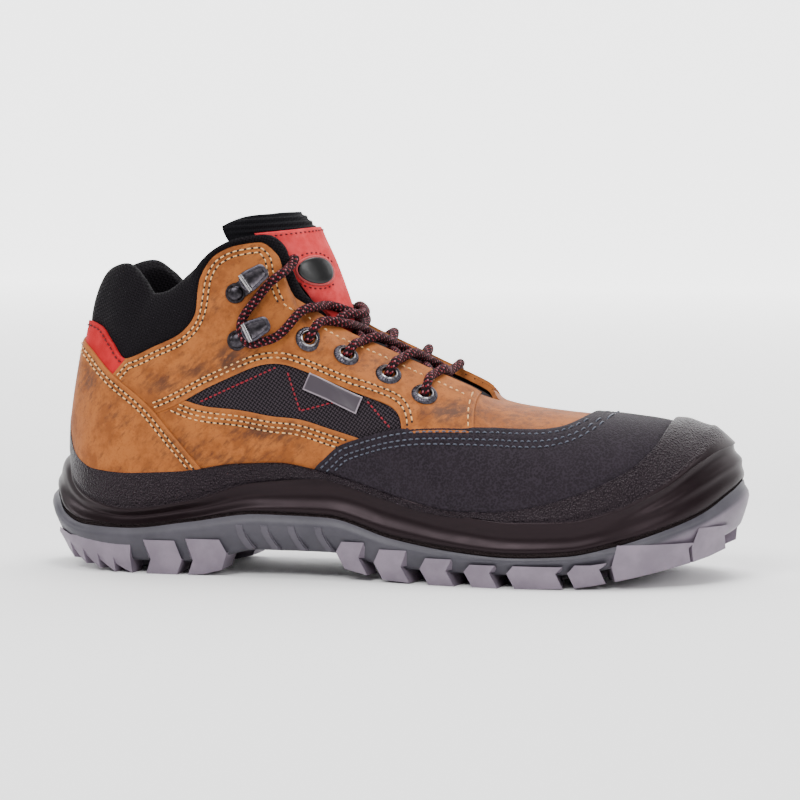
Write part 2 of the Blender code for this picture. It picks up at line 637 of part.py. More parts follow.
def make_tongue():
    """Padded tongue under the eyestays and up through the throat."""
    thick = np.concatenate([column(TONGUE_LOW, "thick"), column(TONGUE_HIGH, "thick")])[:, None, None]
    inner = tongue_outer - grid_normals(tongue_outer) * thick
    return slab("tongue", tongue_outer, inner, TEXTILE)


crest_places = np.array([PLACE[crest.rib] for crest in COLLAR])


def crest_at(t):
    """Crest of the collar and the thickness of its pad, for each t."""
    t = np.mod(t + 1, 2) - 1
    rows = []
    for side in ("lateral", "medial"):
        rows.append(np.column_stack([column(COLLAR, "x", MM * SCALE_X), column(COLLAR, side, MM * SCALE_Y),
                                     column(COLLAR, "z", MM * SCALE_Z), column(COLLAR, "pad")]))
    knots = np.concatenate([-crest_places[:0:-1], crest_places])
    values = np.vstack([rows[1][:0:-1], rows[0]])
    found = along(knots, values, smooth_slopes(knots, values), t)
    return found[:, :3], found[:, 3:]


def make_collar():
    """Padded collar above the leather's top edge, with a flange inside it, and its edge along the eyestays."""
    reach = crest_places[-1]
    low = [t - 2 for t in COLUMNS if t - 2 > -reach + 1e-6 and t > 1]
    t = np.array([-reach, *low, *[t for t in COLUMNS if t < reach - 1e-6], reach])
    crest, pad = crest_at(t)
    edge, normal = last(t, np.ones_like(t)), outward_of(t, np.ones_like(t))
    climb = crest - edge
    tall = np.linalg.norm(climb, axis=1, keepdims=True)
    climb /= tall
    inward = np.cross(climb, np.gradient(edge, axis=0))
    inward /= np.linalg.norm(inward, axis=1, keepdims=True)
    inward *= np.sign((inward * -normal).sum(axis=1, keepdims=True))
    flange = np.full_like(t, 0.92)
    behind = WALL + 5 * GAP
    lift = np.cross(normal, np.gradient(edge, axis=0))
    place = np.abs(t)
    clear = np.interp(place, [PLACE["stay_back"], PLACE["stay_top"]], [3 * GAP, 8 * GAP])
    lift *= clear[:, None] / np.linalg.norm(lift, axis=1, keepdims=True)
    points = [
        edge + lift,
        edge + climb * tall * 0.5 - inward * 1.2 * MM,
        crest - climb * 2.2 * MM,
        crest + inward * 0.3 * pad,
        crest + inward * 0.75 * pad - climb * 1.5 * MM,
        crest + inward * pad - climb * np.minimum(tall * 0.6, 6 * MM),
        edge + inward * (behind + pad * 0.8),
        shell(t, flange, -(behind + 0.7 * pad[:, 0])),
        shell(t, flange, -behind),
        shell(t, np.ones_like(t), -behind) + lift,
    ]
    points = np.stack(points, axis=1)
    count, levels = points.shape[:2]
    faces = grid_faces(count, levels, closed=False)
    for i in range(count - 1):
        a, b = i * levels, (i + 1) * levels
        faces.append((a + levels - 1, b + levels - 1, b, a))
    faces.append(tuple(range(levels)))
    faces.append(tuple((count - 1) * levels + j for j in reversed(range(levels))))
    return add_mesh("collar", points, faces, TEXTILE)


# Panels sewn on the upper, as outlines seen from the side: rows of x and height.
COUNTER_EDGE = [(-165, 99.5), (-137, 99.2), (-134, 98), (-125, 92), (-116, 85), (-98, 72), (-87, 60), (-79, 51),
                (-76, 47.7)]
QUARTER_SEAM = [(-98, 72), (-90, 72.8), (-82, 75)]
TEXTILE_LOW = [(-82, 75), (-75, 73), (-66, 72), (-55, 71), (-43, 69), (-32, 68), (-21, 65), (-5, 60.5)]
TEXTILE_TOP = [(-82, 75), (-73, 80), (-60, 86), (-46, 91), (-39, 91), (-29, 88), (-18, 84), (-7, 80), (4, 76),
               (10, 73), (13, 69), (14, 65)]
MUDGUARD_REAR = [(-24, 48.2), (-21, 51), (-14, 57), (-5, 60.5)]
MUDGUARD_TOP = [(-5, 60.5), (5, 63.5), (14, 65), (44, 65), (65, 64), (78, 65), (86, 68), (91, 72), (93, 90),
                (128, 90)]
TAB_FRONT = [(-116, 85), (-108, 94), (-106, 120)]
STAY_FRONT = [(44, 65), (41, 75), (40.5, 110)]
RIM_CLEAR = 1.3
PANEL_GAP = 0.25


def rim_rows(start, end):
    """Rows along the midsole's rim between two x, clear of it."""
    inner = [row for row in RIM_EDGE if min(start, end) < row[0] < max(start, end)]
    ends = [(x, float(rim_at(x * MM * SCALE_X)) / (MM * SCALE_Z)) for x in (start, end)]
    rows = [ends[0], *(inner if start < end else inner[::-1]), ends[1]]
    return [(x, z + RIM_CLEAR) for x, z in rows]


def inset_rows(rows):
    """A closed outline of rows, counter-clockwise and moved in by half the gap between panels."""
    rows = np.array(list(dict.fromkeys(rows)), float)
    following = np.roll(rows, -1, axis=0)
    if (rows[:, 0] * following[:, 1] - rows[:, 1] * following[:, 0]).sum() < 0:
        rows = rows[::-1]
    way = np.roll(rows, -1, axis=0) - rows
    inward = np.column_stack([-way[:, 1], way[:, 0]]) / np.linalg.norm(way, axis=1, keepdims=True)
    before = np.roll(inward, 1, axis=0)
    return rows + (inward + before) * PANEL_GAP / (1 + (inward * before).sum(axis=1, keepdims=True))


def prism(name, rows, low_y, high_y):
    """A cutter: an outline seen from the side, drawn across the boot from one y to another."""
    rows = inset_rows(rows) * (SCALE_X * MM, SCALE_Z * MM)
    count = len(rows)
    points = [(x, y * MM, z) for y in (low_y, high_y) for x, z in rows]
    faces = [tuple(range(count)), tuple(count + k for k in reversed(range(count)))]
    for k in range(count):
        following = (k + 1) % count
        faces.append((following, k, count + k, count + following))
    made = add_mesh(name, points, faces, LEATHER, CUTTERS)
    made.hide_render = True
    made.display_type = "WIRE"
    return made


def panel(name, rows, material, low_y=-90, high_y=90):
    """A panel on the upper: a skin on the upper's function, kept inside an outline seen from the side."""
    points = shell(COLUMNS[:, None], LEVELS[None, :], GAP)
    made = add_mesh(name, points, split(grid_faces(*points.shape[:2], closed=True), falling=False), material)
    thicken = made.modifiers.new("thickness", "SOLIDIFY")
    thicken.thickness = OVERLAY
    thicken.offset = 1
    keep = made.modifiers.new("outline", "BOOLEAN")
    keep.operation = "INTERSECT"
    keep.object = prism(name + "_outline", rows, low_y, high_y)
    return made


def make_panels():
    """Mudguard, heel counter, heel tab, and on each side a quarter with its eyestay and a lower quarter."""
    panel("mudguard", MUDGUARD_REAR + MUDGUARD_TOP + rim_rows(122.6, -24), NUBUCK)
    panel("heel_counter", COUNTER_EDGE + rim_rows(-76, -141.5) + [(-165, 67)], LEATHER)
    panel("heel_tab", COUNTER_EDGE[:5] + TAB_FRONT[1:] + [(-165, 120)], SUEDE)
    quarter = COUNTER_EDGE[5:3:-1] + TAB_FRONT + [(-106, 160), (40.5, 160)] + STAY_FRONT[::-1]
    quarter += [MUDGUARD_TOP[2]] + TEXTILE_TOP[::-1] + QUARTER_SEAM[::-1]
    lower = QUARTER_SEAM + TEXTILE_LOW + MUDGUARD_REAR[::-1] + rim_rows(-24, -76) + COUNTER_EDGE[:4:-1]
    for side, low_y, high_y in (("lateral", -90, 0), ("medial", 0, 90)):
        panel("quarter_" + side, quarter, LEATHER, low_y, high_y)
        panel("lower_quarter_" + side, lower, LEATHER, low_y, high_y)


def spot(x, z, side):
    """t and s of the points on one side of the upper that lie at x and z, in millimetres, seen from the side."""
    x, z = np.broadcast_arrays(np.asarray(x, float) * MM * SCALE_X, np.asarray(z, float) * MM * SCALE_Z)
    t, s = np.full(x.shape, 0.4), np.full(x.shape, 0.6)
    reach_t, reach_s = 0.36, 0.4
    span = np.linspace(-1, 1, 13)
    for _ in range(12):
        try_t = np.clip(t[..., None, None] + span[:, None] * reach_t, 0.02, 0.98)
        try_s = np.clip(s[..., None, None] + span * reach_s, 0, 1)
        try_t, try_s = np.broadcast_arrays(try_t, try_s)
        found = last(try_t if side == "lateral" else 2 - try_t, try_s)
        miss = (found[..., 0] - x[..., None, None]) ** 2 + (found[..., 2] - z[..., None, None]) ** 2
        best = miss.reshape(*x.shape, -1).argmin(axis=-1)[..., None]
        t = np.take_along_axis(try_t.reshape(*x.shape, -1), best, -1)[..., 0]
        s = np.take_along_axis(try_s.reshape(*x.shape, -1), best, -1)[..., 0]
        reach_t, reach_s = reach_t * 0.45, reach_s * 0.45
    return (t if side == "lateral" else 2 - t), s


def seat(x, z, side, out, tilt=0.0):
    """A point above the upper, and the axes of what sits on it: along a tilted line, across it, and out."""
    t, s = spot(x, z, side)
    normal = outward_of(t, s)
    way = np.array([math.cos(tilt), 0, math.sin(tilt)])
    way = way - normal * (way @ normal)
    way /= np.linalg.norm(way)
    return shell(t, s, out), np.stack([way, np.cross(normal, way), normal])


# Eyelets and hooks, by their place seen from the side: the eyelets from the top one down, and the hooks' rivets.
ON_PANEL = OVERLAY + 4 * GAP
EYELETS = [(-29, 101), (-13, 94), (5, 86), (21, 78)]
EYELET_HOLE, EYELET_RIM = 3.0 * MM, 5.65 * MM
EYELET_SIDES = 8
HOOKS = [(-57, 101.5, 27), (-58.5, 121.5, 36)]
HOOK_STRAP = [(-4.4, 0), (2.8, 0), (3.4, 6.8), (12.6, 6.8), (14, 6.4), (15, 6.9), (13.4, 8), (2.4, 8),
              (1.8, 1.2), (-4.4, 1.2)]
HOOK_SEAT = OVERLAY + 2 * GAP
HOOK_WIDE = 8.0 * MM
RIVET, RIVET_TALL, RIVET_BACK = 3.1 * MM, 3.0 * MM, -1.4 * MM
RIVET_SIDES = 8


def spun(section, sides, origin, axes, closed):
    """Points and faces of a section of radius and height turned about the seat's outward axis."""
    angle = np.arange(sides) * 2 * math.pi / sides
    local = np.array([[(r * math.cos(a), r * math.sin(a), h) for r, h in section] for a in angle])
    points = origin + local @ axes
    levels = len(section)
    faces = grid_faces(sides, levels, closed=True)
    if closed:
        for k in range(sides):
            a, b = k * levels, (k + 1) % sides * levels
            faces.append((a + levels - 1, b + levels - 1, b, a))
    else:
        faces.append(tuple(k * levels for k in reversed(range(sides))))
        faces.append(tuple(k * levels + levels - 1 for k in range(sides)))
    return points, faces


def make_eyelet(name, x, z, side):
    """A pressed metal ring on the eyestay."""
    origin, axes = seat(x, z, side, ON_PANEL)
    section = [(EYELET_RIM, 0), (0.5 * (EYELET_RIM + EYELET_HOLE) + 0.3 * MM, 1.5 * MM), (EYELET_HOLE, 0)]
    return add_mesh(name, *spun(section, EYELET_SIDES, origin, axes, closed=True), METAL)


def make_hook(name, x, z, tilt, side):
    """A speed hook: a strap that is riveted at one end and stands off the leather at the other."""
    origin, axes = seat(x, z, side, HOOK_SEAT, math.radians(tilt))
    count = len(HOOK_STRAP)
    local = np.array([(u * MM, v * HOOK_WIDE / 2, h * MM) for v in (-1, 1) for u, h in HOOK_STRAP])
    faces = [tuple(range(count)), tuple(count + k for k in reversed(range(count)))]
    for k in range(count):
        following = (k + 1) % count
        faces.append((following, k, count + k, count + following))
    made = add_mesh(name, origin + local @ axes, faces, METAL)
    dome = [(RIVET, 0.4 * MM), (RIVET, 0.6 * RIVET_TALL), (0.6 * RIVET, RIVET_TALL)]
    turned = spun(dome, RIVET_SIDES, origin + axes[0] * RIVET_BACK, axes, closed=False)
    rivet = add_mesh(name + "_rivet", *turned, METAL, CUTTERS)
    rivet.hide_render = True
    rivet.display_type = "WIRE"
    join = made.modifiers.new("rivet", "BOOLEAN")
    join.operation = "UNION"
    join.object = rivet
    return made


# Label on the tongue, its badge, and the tag on the side. Rows and shares of the tongue's grid place the label.
PATCH_ROWS, PATCH_NEAR = (4, 5, 5.5, 6, 7, 8, 8.8), (0.66, 0.68, 0.71, 0.74, 0.78, 0.85, 0.88)
PATCH_FAR, PATCH_POINTS = 0.42, 8
PATCH_THICK = 1.0 * MM
# The badge's centre and half sizes in rows and shares, and how far its ends and its top lean.
Oval = namedtuple("Oval", "row share tall wide row_lean share_lean")
BADGE = Oval(6.78, 0.70, 0.5, 0.098, 0.14, -0.037)
BADGE_SIDES = 12
TAG_PLACE, TAG_LONG, TAG_WIDE, TAG_TILT, TAG_THICK = (-16.5, 79.2), 26.0, 7.5, -22, 0.8 * MM


def on_tongue(row, share, out):
    """A point above the tongue: row counts its sections from the toe, share runs from medial to lateral."""
    row, share = np.broadcast_arrays(np.asarray(row, float), np.asarray(share, float))
    place = share * (TONGUE_POINTS - 1)
    r = np.clip(row.astype(int), 0, len(tongue_outer) - 2)
    c = np.clip(place.astype(int), 0, TONGUE_POINTS - 2)
    fr, fc = (row - r)[..., None], (place - c)[..., None]
    normals = grid_normals(tongue_outer)

    def blend(grid):
        low = grid[r, c] * (1 - fc) + grid[r, c + 1] * fc
        high = grid[r + 1, c] * (1 - fc) + grid[r + 1, c + 1] * fc
        return low * (1 - fr) + high * fr

    return blend(tongue_outer) + blend(normals) * np.asarray(out, float)[..., None]


def make_labels():
    """Suede label and rubber badge on the tongue, and a woven tag on the side panel."""
    rows, near = np.array(PATCH_ROWS)[:, None], np.array(PATCH_NEAR)[:, None]
    shares = PATCH_FAR + (near - PATCH_FAR) * np.linspace(0, 1, PATCH_POINTS)
    slab("tongue_patch", *(on_tongue(rows, shares, out) for out in (4 * GAP + PATCH_THICK, 4 * GAP)), SUEDE)
    angle = np.arange(BADGE_SIDES) * 2 * math.pi / BADGE_SIDES
    points, faces = [], []
    for out in (7 * GAP + PATCH_THICK, 7 * GAP + 2 * PATCH_THICK):
        row = BADGE.row + BADGE.tall * np.cos(angle) + BADGE.row_lean * np.sin(angle)
        share = BADGE.share + BADGE.wide * np.sin(angle) + BADGE.share_lean * np.cos(angle)
        points.append(on_tongue(row, share, out))
        points.append(on_tongue([BADGE.row], [BADGE.share], out))
    step = BADGE_SIDES + 1
    for k in range(BADGE_SIDES):
        following = (k + 1) % BADGE_SIDES
        faces += [(following, k, BADGE_SIDES), (step + k, step + following, step + BADGE_SIDES)]
        faces.append((k, following, step + following, step + k))
    add_mesh("tongue_badge", np.vstack(points), faces, RUBBER)
    tilt = math.radians(TAG_TILT)
    u, v = np.meshgrid(np.linspace(-0.5, 0.5, 5) * TAG_LONG, np.array([-0.5, 0.5]) * TAG_WIDE, indexing="ij")
    x = TAG_PLACE[0] + u * math.cos(tilt) - v * math.sin(tilt)
    z = TAG_PLACE[1] + u * math.sin(tilt) + v * math.cos(tilt)
    t, s = spot(x, z, "lateral")
    slab("side_tag", *(shell(t, s, ON_PANEL + lift) for lift in (TAG_THICK, 0.0)), TEXTILE)


# Lace. Each crossing lists the rows of the tongue where a strand leaves its eyestay, where it crosses the middle
# and where it dives under the other eyestay.
LACE = 2.3 * MM
LACE_SIDES = 5
OVER_PANEL = ON_PANEL + LACE + 4 * GAP
OVER_EDGE = OVERLAY + LACE + 4 * GAP
OVER_TONGUE = LACE + PATCH_THICK + 7 * GAP
Crossing = namedtuple("Crossing", "leave middle dive")
CROSSINGS = [Crossing(4.2, 3.9, 3.6), Crossing(3.4, 3.1, 2.8), Crossing(2.5, 2.27, 2.05)]
BAR_ROW = 1.75
# A loose end: over the tongue, by rows and shares on the lateral side, and over the edge of the eyestay at a row,
# then to the lower hook, round it and up, by its places seen from the side, then into the collar.
END_ROWS, END_EDGE = [(4.7, 0.57), (4.78, 0.7)], 4.8
END_PLACES = [(-34.6, 111.2), (-37.5, 106.5), (-43.5, 100.8), (-49.4, 99.7), (-51.7, 104.2), (-53.9, 108.7),
              (-52, 115), (-46, 123.5), (-43.2, 127.5)]
END_TUCK = [(-35, -25, 130.5), (-37, -21, 133.5)]


def tube(path, radius, sides):
    """Points and faces of a tube along a path, with flat ends."""
    path = np.asarray(path, float)
    way = np.gradient(path, axis=0)
    way /= np.linalg.norm(way, axis=1, keepdims=True)
    side = np.cross(way[0], (0.3, 0.2, 1.0))
    rings = []
    for point, along_it in zip(path, way):
        side = side - along_it * (side @ along_it)
        side = side / np.linalg.norm(side)
        other = np.cross(along_it, side)
        angle = np.arange(sides) * 2 * math.pi / sides
        rings.append(point + radius * (np.cos(angle)[:, None] * side + np.sin(angle)[:, None] * other))
    points = np.stack(rings, axis=1)
    levels = len(path)
    faces = grid_faces(sides, levels, closed=True)
    faces.append(tuple(k * levels for k in reversed(range(sides))))
    faces.append(tuple(k * levels + levels - 1 for k in range(sides)))
    return points, faces


def add_tube(name, path, collection=BOOT):
    return add_mesh(name, *tube(path, LACE, LACE_SIDES), CORD, collection)


def throat_edge(row, side):
    """t of the eyestay's edge beside a row of the tongue."""
    place = np.interp(row, range(len(TONGUE_LOW)), [PLACE[span.rib] for span in TONGUE_LOW])
    return place if side == "lateral" else 2 - place


def lace_start(number, row, side, out=OVER_EDGE):
    """Points of a strand from beside its eyelet to the edge of the eyestay at a row of the tongue."""
    t, s = spot(*EYELETS[number], side)
    edge = throat_edge(row, side)
    return [shell(t + (edge - t) * part, s + (1 - s) * part, out) for part in (0.72, 1.0)]


def strand(number, side):
    """A strand from an eyelet over the throat to beside the other eyestay."""
    row = CROSSINGS[number]
    far = 0.66 if side == "medial" else 0.34
    over = [on_tongue(row.middle, 0.5, OVER_TONGUE), on_tongue(row.dive, far, OVER_TONGUE)]
    return [*lace_start(number, row.leave, side), *over]


def loose_end(side):
    """Path of a loose end of the lace."""
    rows, shares = np.array(END_ROWS).T
    over = on_tongue(rows, shares if side == "lateral" else 1 - shares, OVER_TONGUE + 3 * GAP)
    edge = shell(throat_edge(END_EDGE, side), 1.0, OVER_EDGE)
    t, s = spot(*np.array(END_PLACES).T, side)
    tuck = np.array(END_TUCK) * (SCALE_X * MM, SCALE_Y * MM, SCALE_Z * MM)
    if side == "medial":
        tuck[:, 1] = 2 * MIDDLE - tuck[:, 1]
    return np.vstack([over, edge[None], shell(t, s, OVER_PANEL), tuck])


def make_lace():
    """The lace's bar and crossings, and its two ends round the lower hooks."""
    lowest = len(EYELETS) - 1
    bar = [lace_start(lowest, BAR_ROW, side, OVER_EDGE - 2 * GAP) for side in ("lateral", "medial")]
    add_tube("lace_bar", [*bar[0], on_tongue(BAR_ROW, 0.5, OVER_TONGUE), *bar[1][::-1]])
    for number in range(len(CROSSINGS)):
        made = add_tube(f"lace_cross_{number + 1}", strand(number, "lateral"))
        other = add_tube(f"lace_strand_{number + 1}", strand(number, "medial"), CUTTERS)
        other.hide_render = True
        other.display_type = "WIRE"
        join = made.modifiers.new("other_strand", "BOOLEAN")
        join.operation = "UNION"
        join.object = other
    for side in ("lateral", "medial"):
        add_tube("lace_end_" + side, loose_end(side))


make_outsole()
make_midsole()
make_upper()
make_insole()
make_tongue()
make_collar()
make_panels()
for side in ("lateral", "medial"):
    for number, (x, z) in enumerate(EYELETS, 1):
        make_eyelet(f"eyelet_{side}_{number}", x, z, side)
    for number, (x, z, tilt) in enumerate(HOOKS, 1):
        make_hook(f"hook_{side}_{number}", x, z, tilt, side)
make_labels()
make_lace()
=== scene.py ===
"""The looks of a laced safety boot for the right foot: its toe points along +X, its outer side faces -Y."""

import math
from collections import namedtuple

import bmesh
import bpy
import numpy as np
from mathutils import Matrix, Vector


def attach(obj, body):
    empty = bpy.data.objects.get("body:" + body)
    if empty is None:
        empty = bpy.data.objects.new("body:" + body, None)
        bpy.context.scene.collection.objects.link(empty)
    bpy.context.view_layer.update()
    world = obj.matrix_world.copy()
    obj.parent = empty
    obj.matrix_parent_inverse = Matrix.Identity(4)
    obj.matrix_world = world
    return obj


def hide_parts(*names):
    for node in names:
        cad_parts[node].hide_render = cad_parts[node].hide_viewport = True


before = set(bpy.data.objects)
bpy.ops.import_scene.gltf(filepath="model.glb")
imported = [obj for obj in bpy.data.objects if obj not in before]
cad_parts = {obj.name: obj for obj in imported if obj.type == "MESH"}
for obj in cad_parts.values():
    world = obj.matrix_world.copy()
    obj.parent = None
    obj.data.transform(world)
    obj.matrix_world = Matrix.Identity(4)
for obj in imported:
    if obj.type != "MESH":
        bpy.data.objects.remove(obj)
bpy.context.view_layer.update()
MM = 0.001

# Studio. A pale floor that curves up behind the boot, broad soft lamps, and a long lens
# that looks at the boot's outer side from slightly ahead of it and above it.
FLOOR_HALF, FLOOR_BACK, SWEEP = 6.0, 2.6, 1.2
GLOW, GLOW_FROM = 2.6, 0.3
AIM = np.array((0.0031, 0.0, 0.0737))
VIEW_AZIMUTH, VIEW_ELEVATION, VIEW_DISTANCE = math.radians(13), math.radians(4.5), 1.5
SENSOR, LENS = 36.0, 156.6

floor_line = [(-FLOOR_HALF, 0.0), (FLOOR_BACK, 0.0)]
floor_line += [(FLOOR_BACK + SWEEP * math.sin(a), SWEEP * (1 - math.cos(a)))
               for a in np.linspace(0.1, math.pi / 2, 12)]
floor_line.append((FLOOR_BACK + SWEEP, 5.0))
floor_mesh = bpy.data.meshes.new("floor")
floor_points = [(x, y, z) for y, z in floor_line for x in (-FLOOR_HALF, FLOOR_HALF)]
floor_faces = [(2 * k, 2 * k + 1, 2 * k + 3, 2 * k + 2) for k in range(len(floor_line) - 1)]
floor_mesh.from_pydata(floor_points, [], floor_faces)
floor_mesh.shade_smooth()
floor = bpy.data.objects.new("floor", floor_mesh)
bpy.context.scene.collection.objects.link(floor)
paper = bpy.data.materials.new("pale_paper")
paper.use_nodes = True
paper.node_tree.nodes["Principled BSDF"].inputs["Base Color"].default_value = (0.9, 0.9, 0.9, 1)
paper.node_tree.nodes["Principled BSDF"].inputs["Roughness"].default_value = 0.9
distance = paper.node_tree.nodes.new("ShaderNodeSeparateXYZ")
where = paper.node_tree.nodes.new("ShaderNodeTexCoord")
glow = paper.node_tree.nodes.new("ShaderNodeMapRange")
glow.inputs["From Min"].default_value, glow.inputs["From Max"].default_value = GLOW_FROM, FLOOR_BACK
glow.inputs["To Max"].default_value = GLOW
paper.node_tree.links.new(where.outputs["Object"], distance.inputs[0])
paper.node_tree.links.new(distance.outputs[1], glow.inputs["Value"])
paper.node_tree.links.new(glow.outputs[0], paper.node_tree.nodes["Principled BSDF"].inputs["Emission Color"])
paper.node_tree.nodes["Principled BSDF"].inputs["Emission Strength"].default_value = 1.0
floor_mesh.materials.append(paper)

Lamp = namedtuple("Lamp", "name place aim size power")
LAMPS = [
    Lamp("key", (-0.45, -1.7, 1.7), (0, 0, 0.05), 1.0, 50),
    Lamp("front_fill", (1.4, -1.6, 1.0), (0.05, 0, 0.05), 0.8, 18),
    Lamp("top", (0.2, 0.2, 1.7), (0, 0, 0.05), 1.2, 40),
    Lamp("toe_strip", (1.6, 0.5, 0.9), (0.1, 0, 0.05), 0.5, 3),
    Lamp("heel_strip", (-1.6, -0.2, 0.8), (-0.1, 0, 0.05), 0.5, 10),
]


def aim_at(thing, place, aim):
    back = (Vector(place) - Vector(aim)).normalized()
    thing.location = place
    thing.rotation_mode = "QUATERNION"
    thing.rotation_quaternion = (-back).to_track_quat("-Z", "Y")


for lamp in LAMPS:
    light = bpy.data.lights.new(lamp.name, "AREA")
    light.size, light.energy = lamp.size, lamp.power
    lamp_object = bpy.data.objects.new(lamp.name, light)
    bpy.context.scene.collection.objects.link(lamp_object)
    aim_at(lamp_object, lamp.place, lamp.aim)

world = bpy.data.worlds.new("soft_room")
world.use_nodes = True
world.node_tree.nodes["Background"].inputs["Color"].default_value = (1, 1, 1, 1)
world.node_tree.nodes["Background"].inputs["Strength"].default_value = 0.16
bpy.context.scene.world = world

lens = bpy.data.cameras.new("side_camera")
lens.lens, lens.sensor_width, lens.clip_start = LENS, SENSOR, 0.05
camera = bpy.data.objects.new("side_camera", lens)
bpy.context.scene.collection.objects.link(camera)
back_way = np.array((math.sin(VIEW_AZIMUTH) * math.cos(VIEW_ELEVATION),
                     -math.cos(VIEW_AZIMUTH) * math.cos(VIEW_ELEVATION), math.sin(VIEW_ELEVATION)))
aim_at(camera, tuple(AIM + back_way * VIEW_DISTANCE), tuple(AIM))
bpy.context.scene.camera = camera

# Outsole. One moulding of blue-grey rubber: a tray whose wall climbs the sides, with paler lugs along both
# edges, a saw-toothed block round the heel, chevrons under the tread and four ribs beside the arch.
GAP, WALL, RIM, LUG_DEPTH = 0.3 * MM, 2.0 * MM, 2.6 * MM, 5.5 * MM
# lateral and medial are the plan outline, inset how far in the upper stands, floor what it stands on, grey
# and band the top edges of the outsole and of the gloss band, ground how far the lugs stand above the floor.
Station = namedtuple("Station", "x lateral medial inset floor grey band band_in belly ground")
SOLE = [
    Station(-154, 1, 1, 12.5, 24, 33, 49, 8.7, 4.4, 14),
    Station(-150, -13, 15, 11.8, 24, 29, 46, 8, 4.4, 11.5),
    Station(-143, -24, 25, 10.3, 24, 23.5, 38.5, 6, 4.4, 8),
    Station(-130, -34, 34, 8, 24, 20, 31.5, 4, 4.2, 3.2),
    Station(-110, -39, 38.5, 6.5, 24, 19.3, 27.5, 2.5, 3.8, 0),
    Station(-80, -40.5, 38, 6.8, 23.5, 22.5, 32, 2, 4, 0),
    Station(-50, -41, 36, 8, 22.5, 26.5, 40.5, 2.5, 4.3, 6),
    Station(-20, -43, 36, 8, 20.5, 26, 43, 3, 4.5, 6),
    Station(10, -47.5, 40, 6.8, 18, 18.5, 37, 2.5, 4, 0.9),
    Station(40, -52.5, 47, 5.5, 16.5, 14.3, 30, 2, 3.2, 0),
    Station(62, -54.5, 52, 6, 16, 13, 27.5, 1.5, 2.6, 0),
    Station(85, -53, 54.5, 6, 17, 14, 28, 1.5, 2.4, 0.5),
    Station(105, -48.5, 53, 6.5, 19.5, 18, 32.5, 1.8, 2.6, 3.5),
    Station(125, -39, 46.5, 7, 22.5, 24, 42, 3, 3, 8),
    Station(140, -26, 36, 7.5, 25, 30, 52, 5, 3.5, 12),
    Station(150, -10, 22, 7.5, 26, 37, 57, 6.5, 4, 17),
    Station(154, 5, 5, 7.5, 26.5, 41, 58, 7, 4.2, 22),
]


def smooth_slopes(knots, values):
    """Slopes of a curve through the rows that never swings past a row."""
    chord = np.diff(values, axis=0) / np.diff(knots)[:, None]
    before, after = chord[:-1], chord[1:]
    same_way = before * after > 0
    slopes = np.zeros_like(values)
    slopes[1:-1] = np.where(same_way, 2 * before * after / np.where(same_way, before + after, 1), 0)
    slopes[0], slopes[-1] = chord[0], chord[-1]
    return slopes


def even_slopes(knots, values):
    """Slopes of a curve through the rows whose bend changes evenly."""
    step = np.diff(knots)
    chord = np.diff(values, axis=0) / step[:, None]
    count = len(knots)
    matrix = np.eye(count)
    right = np.vstack([chord[:1], np.zeros((count - 2, values.shape[1])), chord[-1:]])
    for i in range(1, count - 1):
        matrix[i, i - 1 : i + 2] = step[i], 2 * (step[i - 1] + step[i]), step[i - 1]
        right[i] = 3 * (step[i] * chord[i - 1] + step[i - 1] * chord[i])
    return np.linalg.solve(matrix, right)


def along(knots, values, slopes, at):
    """Points of the cubic through these values with these slopes."""
    i = np.clip(np.searchsorted(knots, at, "right") - 1, 0, len(knots) - 2)
    step = (knots[i + 1] - knots[i])[..., None]
    f = (at[..., None] - knots[i][..., None]) / step
    rise = values[i + 1] - values[i]
    first, final = slopes[i] * step, slopes[i + 1] * step
    return values[i] + f * (first + f * ((3 * rise - 2 * first - final) + f * (first + final - 2 * rise)))


class Loop:
    """Table columns carried once round the boot: t is 0 at the heel, 1 at the toe and 2 at the heel again."""

    def __init__(self, places, lateral, medial, slopes):
        knots = np.concatenate([places, 2 - places[-2:0:-1]])
        values = np.vstack([lateral, medial[-2:0:-1]])
        self.knots = np.concatenate([knots - 2, knots, knots + 2])
        self.values = np.vstack([values] * 3)
        self.slopes = slopes(self.knots, self.values)

    def __call__(self, t):
        return along(self.knots, self.values, self.slopes, np.mod(np.asarray(t, float), 2))


def column(rows, name, scale=MM):
    return np.array([getattr(row, name) for row in rows], float) * scale


def unit(way):
    return way / np.linalg.norm(way, axis=-1, keepdims=True)


def lengths(line):
    """Length along a line at each of its points."""
    return np.concatenate([[0], np.cumsum(np.linalg.norm(np.diff(line, axis=0), axis=1))])


def heights(edge):
    """A height for every x, from rows of x and height."""
    rows = np.array(edge, float) * MM
    slopes = smooth_slopes(rows[:, 0], rows[:, 1:])
    return lambda x: along(rows[:, 0], rows[:, 1:], slopes, np.asarray(x, float))[..., 0]


plan_sides = [np.column_stack([column(SOLE, "x"), column(SOLE, side)]) for side in ("lateral", "medial")]
plan_steps = sum(np.linalg.norm(np.diff(side, axis=0), axis=1) for side in plan_sides)
station_places = np.concatenate([[0], np.cumsum(plan_steps)]) / plan_steps.sum()
plan = Loop(station_places, *plan_sides, even_slopes)
wall_rows = np.column_stack([column(SOLE, name) for name in ("inset", "grey", "band", "band_in", "belly")])
wall = Loop(station_places, wall_rows, wall_rows, smooth_slopes)
floor_at = heights([(row.x, row.floor) for row in SOLE])
ground_at = heights([(row.x, row.ground) for row in SOLE])


def outline(t, inset):
    """Points of the sole's plan outline, moved in by inset, and the way out of it."""
    t = np.asarray(t, float)
    tangent = plan(t + 1e-4) - plan(t - 1e-4)
    outward = unit(np.stack([tangent[..., 1], -tangent[..., 0]], -1))
    return plan(t) - outward * np.broadcast_to(inset, t.shape)[..., None], outward


